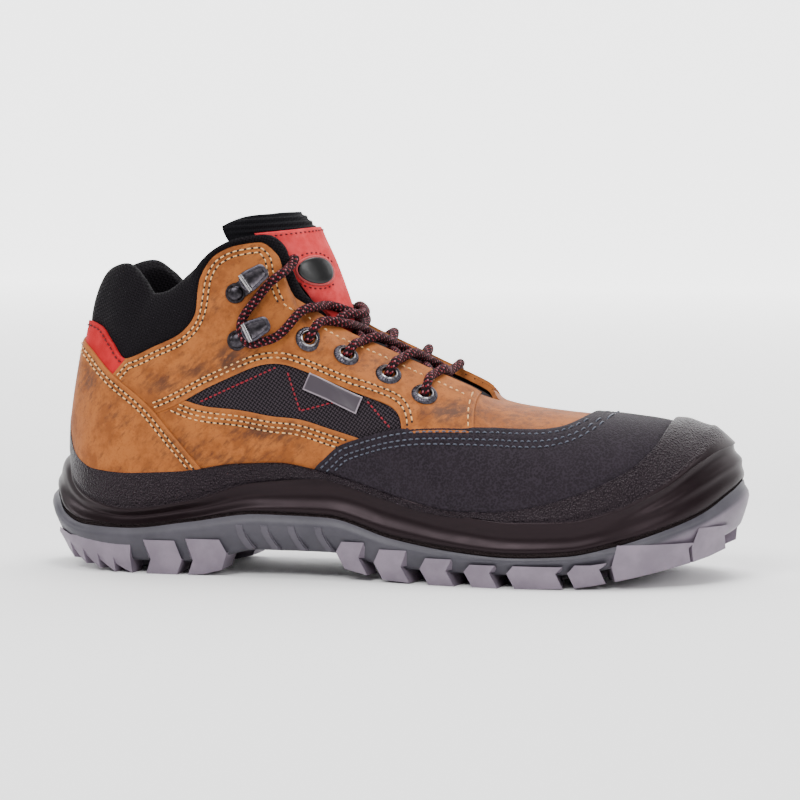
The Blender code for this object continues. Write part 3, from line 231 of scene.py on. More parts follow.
ROUND = np.linspace(0, 2, 440, endpoint=False)
_, GREY, BAND, BAND_IN, BELLY = wall(ROUND).T
LIP_IN = 1.2 * MM + 0.2 * BAND_IN
BED_INSET = 5.5 * MM


def underside_at(x):
    return ground_at(x) + LUG_DEPTH


def bed_at(x):
    return underside_at(x) + 0.45 * (floor_at(x) - underside_at(x))


def ring(inset, height):
    """A ring of the outline, moved in, at a height for each column or for each x."""
    xy, _ = outline(ROUND, inset)
    z = height(xy[:, 0]) if callable(height) else np.broadcast_to(height, ROUND.shape)
    return np.column_stack([xy, z])


def grid_faces(columns, levels, closed=False):
    """Quads of a grid whose points are listed column by column."""
    i = np.arange(columns if closed else columns - 1)
    a = i[:, None] * levels + np.arange(levels - 1)
    b = ((i + 1) % columns)[:, None] * levels + np.arange(levels - 1)
    return np.stack([a, b, b + 1, a + 1], -1).reshape(-1, 4)


def across_faces(count, levels, level, up):
    """Strips from the outer to the inner side that close one level of a stack of rings."""
    faces = []
    for i in range(count // 2):
        corners = dict.fromkeys((i, i + 1, (count - i - 1) % count, (count - i) % count))
        strip = [k * levels + level for k in corners]
        faces.append(tuple(strip if up else reversed(strip)))
    return faces


def stack_faces(count, levels):
    """Faces of a stack of rings, closed at its foot and at its top."""
    foot, top = across_faces(count, levels, 0, up=False), across_faces(count, levels, levels - 1, up=True)
    return [*grid_faces(count, levels, closed=True), *foot, *top]


def add_piece(name, points, faces, finishes, slot, replaces=(), fields=None, finish_of=None, sharp=None):
    """A smooth mesh that rides on the boot, with its finishes, fields and the solids that it stands for."""
    mesh = bpy.data.meshes.new(name)
    corner_rows = [tuple(map(int, face)) for face in faces]
    mesh.from_pydata(np.asarray(points).reshape(-1, 3).tolist(), [], corner_rows)
    for made_of in finishes:
        mesh.materials.append(made_of)
    if finish_of is not None:
        mesh.polygons.foreach_set("material_index", np.asarray(finish_of, np.int32))
    for field, values in (fields or {}).items():
        kept = mesh.attributes.new(field, "FLOAT", "POINT")
        kept.data.foreach_set("value", np.asarray(values, np.float32).ravel())
    mesh.shade_smooth()
    if sharp:
        mesh.set_sharp_from_angle(angle=math.radians(sharp))
    piece = bpy.data.objects.new(name, mesh)
    bpy.context.scene.collection.objects.link(piece)
    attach(piece, "root")
    if replaces:
        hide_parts(*replaces)
    return piece


def node(tree, kind, inputs=None, **settings):
    """A shader node with its settings and with values or other nodes' sockets on its inputs."""
    made = tree.nodes.new(kind)
    for name, value in settings.items():
        setattr(made, name, value)
    for key, value in (inputs or {}).items():
        if isinstance(value, bpy.types.NodeSocket):
            tree.links.new(value, made.inputs[key])
        else:
            made.inputs[key].default_value = value
    return made


def maths(tree, operation, a, b=0.0):
    return node(tree, "ShaderNodeMath", {0: a, 1: b}, operation=operation).outputs[0]


def mixed(tree, factor, a, b):
    colours = {6: (*a, 1) if isinstance(a, tuple) else a, 7: (*b, 1) if isinstance(b, tuple) else b}
    return node(tree, "ShaderNodeMix", {0: factor, **colours}, data_type="RGBA").outputs[2]


def band_of(tree, value, low, high):
    """0 below low, 1 above high, smooth between."""
    inputs = {"Value": value, "From Min": low, "From Max": high}
    return node(tree, "ShaderNodeMapRange", inputs, interpolation_type="SMOOTHSTEP").outputs[0]


def noise(tree, scale, detail=3.0, roughness=0.55, vector=None, stretch=None, turn=0.0):
    if vector is None:
        vector = node(tree, "ShaderNodeTexCoord").outputs["Object"]
    if turn:
        turned = {"Vector": vector, "Angle": turn}
        vector = node(tree, "ShaderNodeVectorRotate", turned, rotation_type="Y_AXIS").outputs[0]
    if stretch:
        vector = node(tree, "ShaderNodeMapping", {"Vector": vector, "Scale": stretch}).outputs[0]
    inputs = {"Vector": vector, "Scale": scale, "Detail": detail, "Roughness": roughness}
    return node(tree, "ShaderNodeTexNoise", inputs).outputs[0]


def pebbles(tree, scale):
    """A height of small round pebbles."""
    place = node(tree, "ShaderNodeTexCoord").outputs["Object"]
    return node(tree, "ShaderNodeTexVoronoi", {"Vector": place, "Scale": scale}).outputs["Distance"]


def field(tree, name):
    return node(tree, "ShaderNodeAttribute", attribute_name=name).outputs["Fac"]


def group(name, inputs, outputs):
    """An empty shader node group with float or colour sockets, and its two end nodes."""
    tree = bpy.data.node_groups.new(name, "ShaderNodeTree")
    for sockets, way in ((inputs, "INPUT"), (outputs, "OUTPUT")):
        for socket, value in sockets.items():
            kind = "NodeSocketColor" if isinstance(value, tuple) else "NodeSocketFloat"
            made = tree.interface.new_socket(socket, in_out=way, socket_type=kind)
            if way == "INPUT":
                made.default_value = (*value, 1) if isinstance(value, tuple) else value
    return tree, tree.nodes.new("NodeGroupInput").outputs, tree.nodes.new("NodeGroupOutput").inputs


def placed(tree, made_group, **inputs):
    """A node group placed in a material, with its own values."""
    made = node(tree, "ShaderNodeGroup", node_tree=made_group)
    for key, value in inputs.items():
        socket = made.inputs[key.replace("_", " ")]
        if isinstance(value, bpy.types.NodeSocket):
            tree.links.new(value, socket)
        else:
            socket.default_value = (*value, 1) if isinstance(value, tuple) else value
    return made.outputs


def finish(name, **constants):
    """A material, its tree and its shader, with plain values on the shader's own sockets."""
    made = bpy.data.materials.new(name)
    made.use_nodes = True
    shader = made.node_tree.nodes["Principled BSDF"]
    for key, value in constants.items():
        socket = shader.inputs[key.replace("_", " ").title().replace("Ior", "IOR")]
        socket.default_value = (*value, 1) if isinstance(value, tuple) else value
    return made, made.node_tree, shader


def raised(tree, shader, height, depth, strength=1.0):
    """Bump of a given depth, in metres, from a height that runs from 0 to 1."""
    inputs = {"Height": height, "Distance": depth, "Strength": strength}
    tree.links.new(node(tree, "ShaderNodeBump", inputs).outputs[0], shader.inputs["Normal"])


def speckle_group():
    """Fine mottling of a moulded or leather surface: a colour mask in two sizes and a grain height."""
    tree, given, out = group("mottle", {"Size": 100.0, "Grain": 1500.0}, {"Mask": 0.0, "Height": 0.0})
    broad = noise(tree, 1.0, 4.0)
    tree.links.new(given["Size"], broad.node.inputs["Scale"])
    fine = noise(tree, 1.0, 3.0, 0.6)
    tree.links.new(given["Grain"], fine.node.inputs["Scale"])
    tree.links.new(band_of(tree, broad, 0.34, 0.68), out["Mask"])
    tree.links.new(fine, out["Height"])
    return tree


mottle = speckle_group()
rubber, tree, shader = finish("grey_rubber", roughness=0.5, specular_ior_level=0.42)
spots = placed(tree, mottle, Size=70.0, Grain=900.0)
base = mixed(tree, spots["Mask"], (0.038, 0.035, 0.046), (0.052, 0.048, 0.061))
lug_colour = mixed(tree, spots["Mask"], (0.155, 0.126, 0.162), (0.205, 0.168, 0.212))
tree.links.new(mixed(tree, field(tree, "lug"), base, lug_colour), shader.inputs["Base Color"])
raised(tree, shader, spots["Height"], 0.12 * MM, 0.5)

Lug = namedtuple("Lug", "start end reach top point")
EDGE_LUGS = [
    Lug(-100.5, -86.5, 19, 15, 3), Lug(-81.5, -66.5, 19, 16, 3), Lug(-12, -2, 15, 17, -3),
    Lug(5, 17, 19, 14.5, -3), Lug(25.5, 37, 21, 11.8, -3), Lug(45, 56, 22, 10, -3),
    Lug(63.5, 84, 22, 10, -3), Lug(89, 102, 21, 10.8, -3), Lug(106, 136, 20, 19, -2),
    Lug(137.2, 149, 9, 25, -2),
]
Chevron = namedtuple("Chevron", "x half length")
CHEVRONS = [
    Chevron(-119, 12, 9), Chevron(-100, 14, 11), Chevron(-80, 13, 11), Chevron(12, 16, 10),
    Chevron(29, 20, 10), Chevron(47, 24, 10), Chevron(66, 25, 11), Chevron(86, 25, 11), Chevron(106, 21, 11),
    Chevron(124, 15, 9),
]
ARCH_RIBS = (-60, -49, -37, -25)
SAW_ENDS = (-145.5, -138, -130.5, -122.8, -115, -107)
SAW_DEEP, SAW_REACH, SAW_TOP, SAW_CUT = 3.6 * MM, 15 * MM, 15 * MM, 0.02 * MM
SAW_BEND_IN, SAW_TOP_IN, SAW_CLEAR = 1.1 * MM, 1.3 * MM, 0.8 * MM
LUG_FOOT_IN, LUG_BEND_IN, LUG_TOP_IN, LUG_BACK_IN = 3.4 * MM, 1.0 * MM, -0.2 * MM, 5.0 * MM
LUG_EDGE, LUG_ROOT, LUG_SUNK, LUG_OVER, LUG_STEP = 0.55 * MM, 1.2 * MM, 1.6 * MM, 1.0 * MM, 7 * MM
ARCH_TOP, ARCH_FOOT, ARCH_SWEEP, ARCH_WIDE, ARCH_BACK_IN = 22.5 * MM, 0.6 * MM, 5.5 * MM, 4.0 * MM, 5 * MM
CHEVRON_BEND, CHEVRON_SUNK, TREAD_MIDDLE = 0.35, 1.0 * MM, 2 * MM
BEVEL_FROM = math.radians(18)
fine_half = np.linspace(0, 1, 2001)


def edge_block(cuts, side, levels):
    """A block along the outline. A level of it has a shift, and an inset and a height on each side."""
    rings = []
    for shift, *sides in levels:
        t = np.interp(cuts + shift, plan(fine_half)[:, 0], fine_half)
        t = t if side == "lateral" else 2 - t[::-1]
        rows = []
        for inset, height_at in sides:
            xy, _ = outline(t, inset)
            rows.append(np.column_stack([xy, height_at(xy[:, 0])]))
        rings.append(np.vstack([rows[0], rows[1][::-1]]))
    points = np.stack(rings, axis=1)
    count, tall = points.shape[:2]
    faces = [tuple(face) for face in grid_faces(count, tall, closed=True)]
    for i in range(len(cuts) - 1):
        quad = [k * tall for k in (i, i + 1, count - 2 - i, count - 1 - i)]
        faces += [tuple(reversed(quad)), tuple(k + tall - 1 for k in quad)]
    return points.reshape(-1, 3), faces


def lug_top(top):
    """A lug's upper edge: at its own height, or a little over halfway into the tray where that is higher."""
    return lambda x: np.maximum(top, (underside_at(x) + bed_at(x)) / 2 + LUG_OVER)


def sunk_at(x):
    return underside_at(x) + LUG_SUNK


def edge_lug(lug, side):
    """A lug with its outer face bent forward or back halfway up."""
    start, end, reach = lug.start * MM, lug.end * MM, lug.reach * MM
    rooted_at = lambda x: underside_at(x) + LUG_ROOT
    cuts = np.linspace(start, end, max(2, 1 + round((end - start) / LUG_STEP)))
    return edge_block(cuts, side, [
        (0, (LUG_FOOT_IN, ground_at), (reach, ground_at)),
        (lug.point * MM, (LUG_BEND_IN, rooted_at), (reach, rooted_at)),
        (0, (LUG_TOP_IN, lug_top(lug.top * MM)), (LUG_BACK_IN, sunk_at)),
    ])


def heel_saw(side):
    """The block round the rear of the heel, with its foot cut into saw teeth."""
    ends = np.array(SAW_ENDS) * MM
    cuts = np.sort(np.concatenate([ends[:-1] + SAW_CUT, (ends[:-1] + ends[1:]) / 2, ends[1:] - SAW_CUT]))

    def foot_at(x):
        tooth = np.clip(np.searchsorted(ends, cuts) - 1, 0, len(ends) - 2)
        share = (cuts - ends[tooth]) / (ends[tooth + 1] - ends[tooth])
        return ground_at(x) + SAW_DEEP * ((1 - share) if side == "lateral" else (1 - share)[::-1])

    rooted_at = lambda x: np.maximum(underside_at(x) + LUG_ROOT, ground_at(x) + SAW_DEEP + SAW_CLEAR)
    return edge_block(cuts, side, [
        (0, (LUG_FOOT_IN, foot_at), (SAW_REACH, foot_at)),
        (0, (SAW_BEND_IN, rooted_at), (SAW_REACH, rooted_at)),
        (0, (SAW_TOP_IN, lug_top(SAW_TOP)), (LUG_BACK_IN, sunk_at)),
    ])


def arch_rib(x, side):
    """A slanted rib on the wall beside the arch, curved back as it climbs."""
    levels = []
    for climb in np.linspace(0, 1, 5):
        height_at = lambda x, climb=climb: underside_at(x) + ARCH_FOOT + climb * (ARCH_TOP - underside_at(x))
        inset = (1.8 - 1.7 * math.sin(climb * math.pi / 2)) * MM
        levels.append((ARCH_SWEEP * (1 - climb) ** 1.6, (inset, height_at), (ARCH_BACK_IN, height_at)))
    return edge_block(np.array((x * MM, x * MM + ARCH_WIDE)), side, levels)


def chevron(row):
    """A bar across the tread, bent forward at its middle."""
    half_width, bend = row.half * MM, CHEVRON_BEND * row.half * MM
    bends = ((-half_width, -bend), (0.0, 0.0), (half_width, -bend))
    xy = [(row.x * MM + back, TREAD_MIDDLE + y) for y, back in bends]
    xy = np.array(xy[::-1] + [(x - row.length * MM, y) for x, y in xy])[::-1]
    points = np.stack([np.column_stack([xy, at(xy[:, 0])]) for at in (ground_at, underside_at)], axis=1)
    points[:, 1, 2] += CHEVRON_SUNK
    faces = [tuple(face) for face in grid_faces(len(xy), 2, closed=True)]
    for quad in ([0, 1, 4, 5], [1, 2, 3, 4]):
        faces += [tuple(k * 2 for k in reversed(quad)), tuple(k * 2 + 1 for k in quad)]
    return points.reshape(-1, 3), faces


def joined(parts):
    """Points and faces of several meshes as one."""
    points, faces = [], []
    for part_points, part_faces in parts:
        start = sum(len(part) for part in points)
        points.append(np.asarray(part_points).reshape(-1, 3))
        faces += [tuple(int(start + k) for k in face) for face in part_faces]
    return np.vstack(points), faces


def bevelled(points, faces, width, segments=2):
    """The mesh with its sharp edges rounded."""
    work = bmesh.new()
    made = [work.verts.new(point) for point in points]
    for face in faces:
        work.faces.new([made[k] for k in face])
    work.normal_update()
    edges = [edge for edge in work.edges if edge.is_manifold and edge.calc_face_angle() > BEVEL_FROM]
    bmesh.ops.bevel(work, geom=edges, offset=width, segments=segments, affect="EDGES", clamp_overlap=True)
    work.verts.index_update()
    points = np.array([tuple(vert.co) for vert in work.verts])
    faces = [tuple(vert.index for vert in face.verts) for face in work.faces]
    work.free()
    return points, faces


def smooth_rings(rings, per):
    """More rings, on a smooth curve up each column through the given ones."""
    values = np.stack([np.asarray(one).ravel() for one in rings])
    knots = np.arange(len(rings), dtype=float)
    slopes = np.gradient(values, axis=0)
    at = np.linspace(0, len(rings) - 1, (len(rings) - 1) * per + 1)
    return along(knots, values, slopes, at).reshape(len(at), -1, 3), at


knee = ring(3.2 * MM, lambda x: underside_at(x) + 2.0 * MM)
tray_rings, _ = smooth_rings([
    ring(6 * MM, underside_at), ring(4.6 * MM, lambda x: underside_at(x) + 0.4 * MM), knee,
    ring(0.4 * MM, GREY - 0.35 * (GREY - knee[:, 2])), ring(LIP_IN - 0.3 * MM, GREY - 0.9 * MM),
    ring(LIP_IN + 0.5 * MM, GREY), ring(BED_INSET, bed_at)], 3)
tray_points = tray_rings.transpose(1, 0, 2)
tray_faces = stack_faces(*tray_points.shape[:2])
lugs = [edge_lug(lug, side) for side in ("lateral", "medial") for lug in EDGE_LUGS]
lugs += [chevron(row) for row in CHEVRONS] + [heel_saw(side) for side in ("lateral", "medial")]
ribs_beside = [arch_rib(x, side) for side in ("lateral", "medial") for x in ARCH_RIBS]
lugs = bevelled(*joined(lugs), LUG_EDGE)
ribs_beside = bevelled(*joined(ribs_beside), LUG_EDGE)
points, faces = joined([(tray_points, tray_faces), lugs, ribs_beside])
PALE_FROM, PALE_FADE, PALE_BELOW, TOE_TINT, RIB_TINT = 100.8 * MM, 8 * MM, 3 * MM, 0.8, 0.12
near_toe = np.clip((tray_points[..., 0] - PALE_FROM) / PALE_FADE, 0, 1)
below_edge = np.clip((GREY[:, None] - tray_points[..., 2] - PALE_BELOW) / MM, 0, 1)
pale_toe = TOE_TINT * near_toe * below_edge
is_lug = np.concatenate([pale_toe.ravel(), np.ones(len(lugs[0])), np.full(len(ribs_beside[0]), RIB_TINT)])
add_piece("outsole_moulding", points, faces, [rubber], "grey_rubber", ["outsole"], {"lug": is_lug}, sharp=40)

# Midsole. Black polyurethane foamed onto the upper: a hollow gloss band round the foot, a grained band over
# it, and a grained cap with two gloss ridges over the toe. A rough groove parts it from the rubber.
Rib = namedtuple("Rib", "name foot x lateral medial z lean rise heading pitch reach")
RIBS = [
    Rib("heel", -154, -135, 1, 1, 106, 10, 0.33, -90, 79, 0.40),
    Rib("heel_side", -150, -131.5, -12, 14, 107, 10, 0.33, -66, 80, 0.40),
    Rib("tab", -143, -124, -20.5, 22, 105, 10, 0.33, -45, 82, 0.40),
    Rib("tab_front", -130, -117, -27.5, 29, 98.5, 10, 0.35, -28, 84, 0.38),
    Rib("dip", -113, -110, -32, 33.5, 92, 10, 0.38, -12, 86, 0.36),
    Rib("ankle", -92, -96, -35.5, 36.5, 97.5, 12, 0.38, -5, 88, 0.34),
    Rib("ankle_mid", -72, -83, -37.5, 38, 104, 13, 0.38, 0, 88, 0.34),
    Rib("step_foot", -55, -76.5, -38, 38.5, 113, 13, 0.38, 20, 87, 0.34),
    Rib("step_mid", -40, -74.5, -38, 38.5, 127, 12, 0.38, 30, 86, 0.36),
    Rib("step_top", -28, -70, -37, 38, 135.5, 11, 0.38, 40, 85, 0.36),
    Rib("stay_back", -18, -60, -35, 36.5, 140.8, 10, 0.38, 50, 84, 0.36),
    Rib("stay_top", -9, -51, -31.5, 34, 142, 9, 0.38, 56, 80, 0.36),
    Rib("stay_corner", -1, -45, -29, 31.5, 137, 8, 0.38, 58, 74, 0.36),
    Rib("stay_front", 6, -42.5, -27.5, 30, 128.5, 8, 0.38, 56, 66, 0.36),
    Rib("stay_bend", 13, -38.5, -26, 28.5, 119, 7, 0.38, 50, 55, 0.36),
    Rib("throat_top", 20, -31, -23.5, 26, 113.5, 6, 0.40, 42, 45, 0.36),
    Rib("throat_1", 29, -17, -20, 23, 104, 5, 0.42, 32, 38, 0.36),
    Rib("throat_2", 39, 1, -17.5, 20.5, 96, 4, 0.44, 25, 34, 0.36),
    Rib("throat_3", 49, 19, -16.5, 19.5, 88, 4, 0.46, 20, 30, 0.36),
    Rib("stay_end", 58, 39, -14, 17.5, 79, 3, 0.50, 12, 22, 0.36),
    Rib("throat_foot", 66, 47, 2.5, 2.5, 74, 3, 0.56, 5, 0, 0.40),
    Rib("vamp_1", 80, 62, 3, 3, 71.3, 3, 0.58, 5, 0, 0.42),
    Rib("vamp_2", 97, 80, 3, 3, 69.4, 3, 0.58, 10, 1, 0.42),
    Rib("vamp_3", 114, 94, 3.5, 3.5, 68.2, 3, 0.58, 22, 2, 0.42),
    Rib("toe_3", 129, 101, 4, 4, 67.5, 3, 0.58, 42, 4, 0.44),
    Rib("toe_2", 143, 104, 4.3, 4.3, 67.2, 3, 0.58, 66, 5, 0.46),
    Rib("toe", 154, 105, 4.5, 4.5, 67, 3, 0.58, 90, 6, 0.48),
]
RIM_EDGE = [(-150, 67), (-141.5, 65), (-140, 60), (-136, 51), (-130, 46.5), (-124, 44.2), (-109, 43.2),
            (-97, 43.8), (-78, 45.3), (-60, 48), (-40, 48.8), (-23, 46), (-12, 43.4), (6, 38.2), (24, 33.4),
            (41, 31), (54, 31), (74, 34), (90, 39), (106, 46.5), (114, 52.5), (118.5, 58), (121, 63),
            (122.5, 68), (126, 90), (160, 120)]
rim_at = heights(RIM_EDGE)
rib_places = np.interp(column(RIBS, "foot"), plan(fine_half)[:, 0], fine_half)
PLACE = {rib.name: place for rib, place in zip(RIBS, rib_places)}


def rib_rows(side):
    columns = [column(RIBS, name) for name in ("x", side, "z")]
    columns += [column(RIBS, name, math.pi / 180) for name in ("lean", "heading", "pitch")]
    return np.column_stack(columns + [column(RIBS, name, 1) for name in ("rise", "reach")])


ribs = Loop(rib_places, rib_rows("lateral"), rib_rows("medial"), smooth_slopes)


def last(t, s):
    """Points of the upper's outer face: t round the foot, s from its lower edge, 0, to its top edge, 1."""
    t, s = np.broadcast_arrays(np.asarray(t, float), np.asarray(s, float))
    base_xy, outward = outline(t, wall(t)[..., 0])
    base = np.concatenate([base_xy, floor_at(base_xy[..., 0])[..., None]], -1)
    row = ribs(t)
    top = row[..., :3]
    lean, heading, pitch, rise, reach = np.moveaxis(row[..., 3:], -1, 0)
    side = np.where(np.mod(t, 2) < 1, 1.0, -1.0)
    level = np.cos(pitch)
    aim = np.stack([-np.sin(heading) * level, side * np.cos(heading) * level, np.sin(pitch)], -1)
    start = np.concatenate([outward * np.sin(lean)[..., None], np.cos(lean)[..., None]], -1)
    chord = np.linalg.norm(top - base, axis=-1)
    low = base + start * (chord * rise)[..., None]
    high = top - aim * (chord * reach)[..., None]
    s = s[..., None]
    return base * (1 - s) ** 3 + 3 * low * s * (1 - s) ** 2 + 3 * high * s**2 * (1 - s) + top * s**3


def outward_of(t, s):
    """Unit normals of the upper's outer face."""
    t, s = np.broadcast_arrays(np.asarray(t, float), np.clip(s, 0, 0.995))
    d = 1e-4
    across = last(t + d, s) - last(t - d, s)
    up = last(t, np.minimum(s + d, 1)) - last(t, np.maximum(s - d, 0))
    return unit(np.cross(across, up))


def shell(t, s, out=0.0):
    """Points at a distance out from the upper's outer face, with its two sides meeting along the ridge."""
    t, s = np.broadcast_arrays(np.asarray(t, float), np.asarray(s, float))
    out = np.broadcast_to(out, t.shape)[..., None]
    points = last(t, s) + outward_of(t, s) * out
    place = np.minimum(np.mod(t, 2), 2 - np.mod(t, 2))
    on_ridge = (s > 1 - 1e-9) & (place >= PLACE["throat_foot"] - 1e-9)
    if on_ridge.any():
        mirrored = last(2 - t, s) + outward_of(2 - t, s) * out
        points = np.where(on_ridge[..., None], (points + mirrored) / 2, points)
    return points


def level_at(t, height_at):
    """The s at which each rib first climbs past a height that depends on x."""
    low, high = np.zeros_like(t), np.ones_like(t)
    for _ in range(40):
        mid = (low + high) / 2
        point = last(t, mid)
        above = point[..., 2] > height_at(point[..., 0])
        low, high = np.where(above, low, mid), np.where(above, mid, high)
    return (low + high) / 2


polyurethane, tree, shader = finish("black_polyurethane", specular_ior_level=0.22,
                                    specular_tint=(0.95, 0.74, 0.82))
spots = placed(tree, mottle, Size=160.0, Grain=1500.0)
grained = field(tree, "grain")
grooved = field(tree, "groove")
black = mixed(tree, grained, (0.0052, 0.0028, 0.0034), (0.0050, 0.0034, 0.0052))
tree.links.new(mixed(tree, grooved, black, (0.020, 0.015, 0.015)), shader.inputs["Base Color"])
gloss = node(tree, "ShaderNodeMapRange", {"Value": grained, "To Min": 0.37, "To Max": 0.36}).outputs[0]
gloss = maths(tree, "ADD", gloss, maths(tree, "MULTIPLY", grooved, 0.35))
tree.links.new(maths(tree, "ADD", gloss, maths(tree, "MULTIPLY", spots["Mask"], 0.05)),
               shader.inputs["Roughness"])
grain = pebbles(tree, 1150.0)
rough_part = maths(tree, "MULTIPLY", maths(tree, "MAXIMUM", grained, grooved), grain)
raised(tree, shader, rough_part, 0.7 * MM, 1.0)


def upper_inset(height):
    """How far inside the sole's outline the upper stands, at a height for each column."""
    side = last(ROUND, level_at(ROUND, lambda x: height))[:, :2]
    edge, outward = outline(ROUND, 0.0)
    return ((edge - side) * outward).sum(axis=1)


TOE_FROM, TOE_FADE, TOE_BULGE, BULGE_AT, BULGE_WIDE = 0.72, 0.2, 1.5 * MM, 0.8, 0.35
CAP_POWER, TOE_POWER, GROOVE_STEP = 0.8, 0.42, 2.3
rim_level = level_at(ROUND, rim_at)
tall = BAND - GREY
toe_part = np.clip((np.cos((ROUND - 1) * math.pi) - TOE_FROM) / TOE_FADE, 0, 1)
hollow_in = np.minimum(BELLY, upper_inset(GREY + 0.6 * tall) - WALL)
edge = ring(BAND_IN, BAND)
band_level = np.minimum(level_at(ROUND, lambda x: BAND), rim_level - 0.02)
stands = np.linalg.norm(edge - last(ROUND, band_level), axis=1)
gloss_rings = [
    ring(BED_INSET + GAP, lambda x: bed_at(x) + GAP), ring(LIP_IN + 0.6 * MM, GREY + GAP),
    ring(LIP_IN + 1.3 * MM, GREY + 0.5 * MM), ring(LIP_IN + 1.3 * MM, GREY + 1.5 * MM),
    ring(LIP_IN + 0.3 * MM, GREY + 2.1 * MM), ring(LIP_IN + 0.05 * MM, GREY + 0.25 * tall),
    ring(0.4 * LIP_IN + 0.6 * hollow_in + 0.5 * MM * (1 - toe_part), GREY + 0.42 * tall),
    ring(hollow_in + 0.5 * MM - 1.0 * MM * toe_part, GREY + 0.6 * tall),
    ring(hollow_in * 0.6 + BAND_IN * 0.4 + 1.2 * MM * toe_part, GREY + 0.78 * tall),
    ring(BAND_IN + 0.1 * MM, BAND - 0.9 * MM), ring(BAND_IN - 0.15 * MM, BAND)]
cap_rings = []
for part in (0.08, 0.22, 0.38, 0.55, 0.7, 0.83, 0.93, 1.0):
    level = band_level + (rim_level - band_level) * part
    out = stands + (RIM - stands) * part ** (CAP_POWER - TOE_POWER * toe_part)
    out = out + TOE_BULGE * toe_part * math.exp(-(((part - BULGE_AT) / BULGE_WIDE) ** 2))
    cap_rings.append(shell(ROUND, level, out - 0.35 * MM * (part < 0.1)))
cap_rings += [shell(ROUND, rim_level + 0.006, 0.8 * RIM), shell(ROUND, rim_level + 0.004, 0.3 * RIM)]
cap_rings += [shell(ROUND, rim_level * part, GAP) for part in (0.95, 0.5, 0.03)]
all_rings, at = smooth_rings(gloss_rings + cap_rings, 3)
points = all_rings.transpose(1, 0, 2)
edge_step = len(gloss_rings) - 1
is_grain = np.tile(np.clip((at - edge_step - 0.3) / 0.5, 0, 1), len(points))
is_groove = np.tile(np.clip(1.6 - abs(at - GROOVE_STEP), 0, 1), len(points))
add_piece("midsole_moulding", points, stack_faces(*points.shape[:2]), [polyurethane], "black_polyurethane",
          ["midsole"], {"grain": is_grain, "groove": is_groove}, sharp=50)

# Upper. A hollow shell of waxed tan nubuck on the last, lined with black cloth, open at the collar and the
# throat. The windows in its sides are a coarse black textile.
COUNTER_EDGE = [(-165, 99.5), (-137, 99.2), (-134, 98), (-125, 92), (-116, 85), (-98, 72), (-87, 60),
                (-79, 51), (-74, 45)]
QUARTER_SEAM = [(-96, 68.8), (-89.5, 71.4), (-82, 75)]
TEXTILE_LOW = [(-82, 75), (-75, 73), (-66, 72), (-55, 71), (-43, 69), (-32, 68), (-21, 65), (-5, 60.5)]
TEXTILE_TOP = [(-82, 75), (-73, 80), (-60, 86), (-46, 91), (-39, 91), (-29, 88), (-18, 84), (-7, 80), (4, 76),
               (10, 73), (13, 69), (14, 65)]
MUDGUARD_REAR = [(-27, 43), (-24, 48.2), (-21, 51), (-14, 57), (-5, 60.5)]
MUDGUARD_TOP = [(-5, 60.5), (5, 63.5), (14, 65), (44, 65), (65, 64), (78, 65), (86, 68), (91, 72), (93, 90)]
TAB_FRONT = [(-116, 85), (-108, 94), (-104, 100)]
STAY_FRONT = [(44, 62), (41, 75), (40.5, 90)]


def smooth_line(rows):
    """A smooth line through places seen from the side, in millimetres, with a point every 1.2 mm."""
    rows = np.array(rows, float)
    knots = lengths(rows)
    slopes = even_slopes(knots, rows) if len(rows) > 2 else np.tile((rows[1] - rows[0]) / knots[1], (2, 1))
    return along(knots, rows, slopes, np.linspace(0, knots[-1], max(2, int(knots[-1] / 1.2))))


def line_gap(line, points):
    """Distance from each point to an open line, in millimetres."""
    a, way = line[:-1], np.diff(line, axis=0)
    gaps = []
    for chunk in np.array_split(points, max(1, len(points) // 3000)):
        from_a = chunk[:, None] - a
        f = np.clip((from_a * way).sum(-1) / np.maximum((way**2).sum(-1), 1e-9), 0, 1)
        gaps.append(np.linalg.norm(from_a - f[..., None] * way, axis=-1).min(axis=1))
    return np.concatenate(gaps)


def depth_in(polygon, points):
    """How deep each point lies inside a closed outline, in millimetres; below 0 outside it."""
    closed = np.vstack([polygon, polygon[:1]])
    gap = line_gap(closed, points)
    a, b = closed[:-1], closed[1:]
    inside = np.zeros(len(points), bool)
    for (ax, az), (bx, bz) in zip(a, b):
        if az != bz:
            crosses = (points[:, 1] < az) != (points[:, 1] < bz)
            inside ^= crosses & (points[:, 0] < ax + (points[:, 1] - az) * (bx - ax) / (bz - az))
    return np.where(inside, gap, -gap)


def side_view(points):
    return points[..., [0, 2]].reshape(-1, 2) / MM


# Soft creases of the worn-in leather: place seen from the side, slant, half length, width and depth.
Crease = namedtuple("Crease", "x z slant half wide deep")
CREASES = [
    Crease(-52, 93, 62, 13, 3.0, 0.55), Crease(-45, 96, 70, 11, 2.6, 0.4), Crease(-66, 96, 48, 14, 3.4, 0.45),
    Crease(-92, 84, 24, 12, 3.2, 0.35), Crease(-70, 62, 8, 20, 3.5, 0.4), Crease(-42, 58, -6, 18, 3.2, 0.35),
    Crease(58, 69, -4, 12, 3.0, 0.35), Crease(70, 67.5, -3, 12, 3.0, 0.3), Crease(-120, 72, 40, 12, 4, 0.3),
    Crease(27, 74, -30, 10, 3, 0.35),
]


def creased(points):
    """How far the creases move the leather in, in metres, for points seen from the side in millimetres."""
    moved = np.zeros(len(points))
    for crease in CREASES:
        c, s = math.cos(math.radians(crease.slant)), math.sin(math.radians(crease.slant))
        off = points - (crease.x, crease.z)
        u, v = off[:, 0] * c + off[:, 1] * s, off[:, 1] * c - off[:, 0] * s
        v = v + 0.02 * u * u / crease.half * 4
        beside = (abs(v) - 1.7 * crease.wide) / crease.wide
        trough = np.exp(-((v / crease.wide) ** 2)) - 0.6 * np.exp(-(beside ** 2))
        moved += crease.deep * MM * trough * np.exp(-((u / crease.half) ** 4))
    return moved


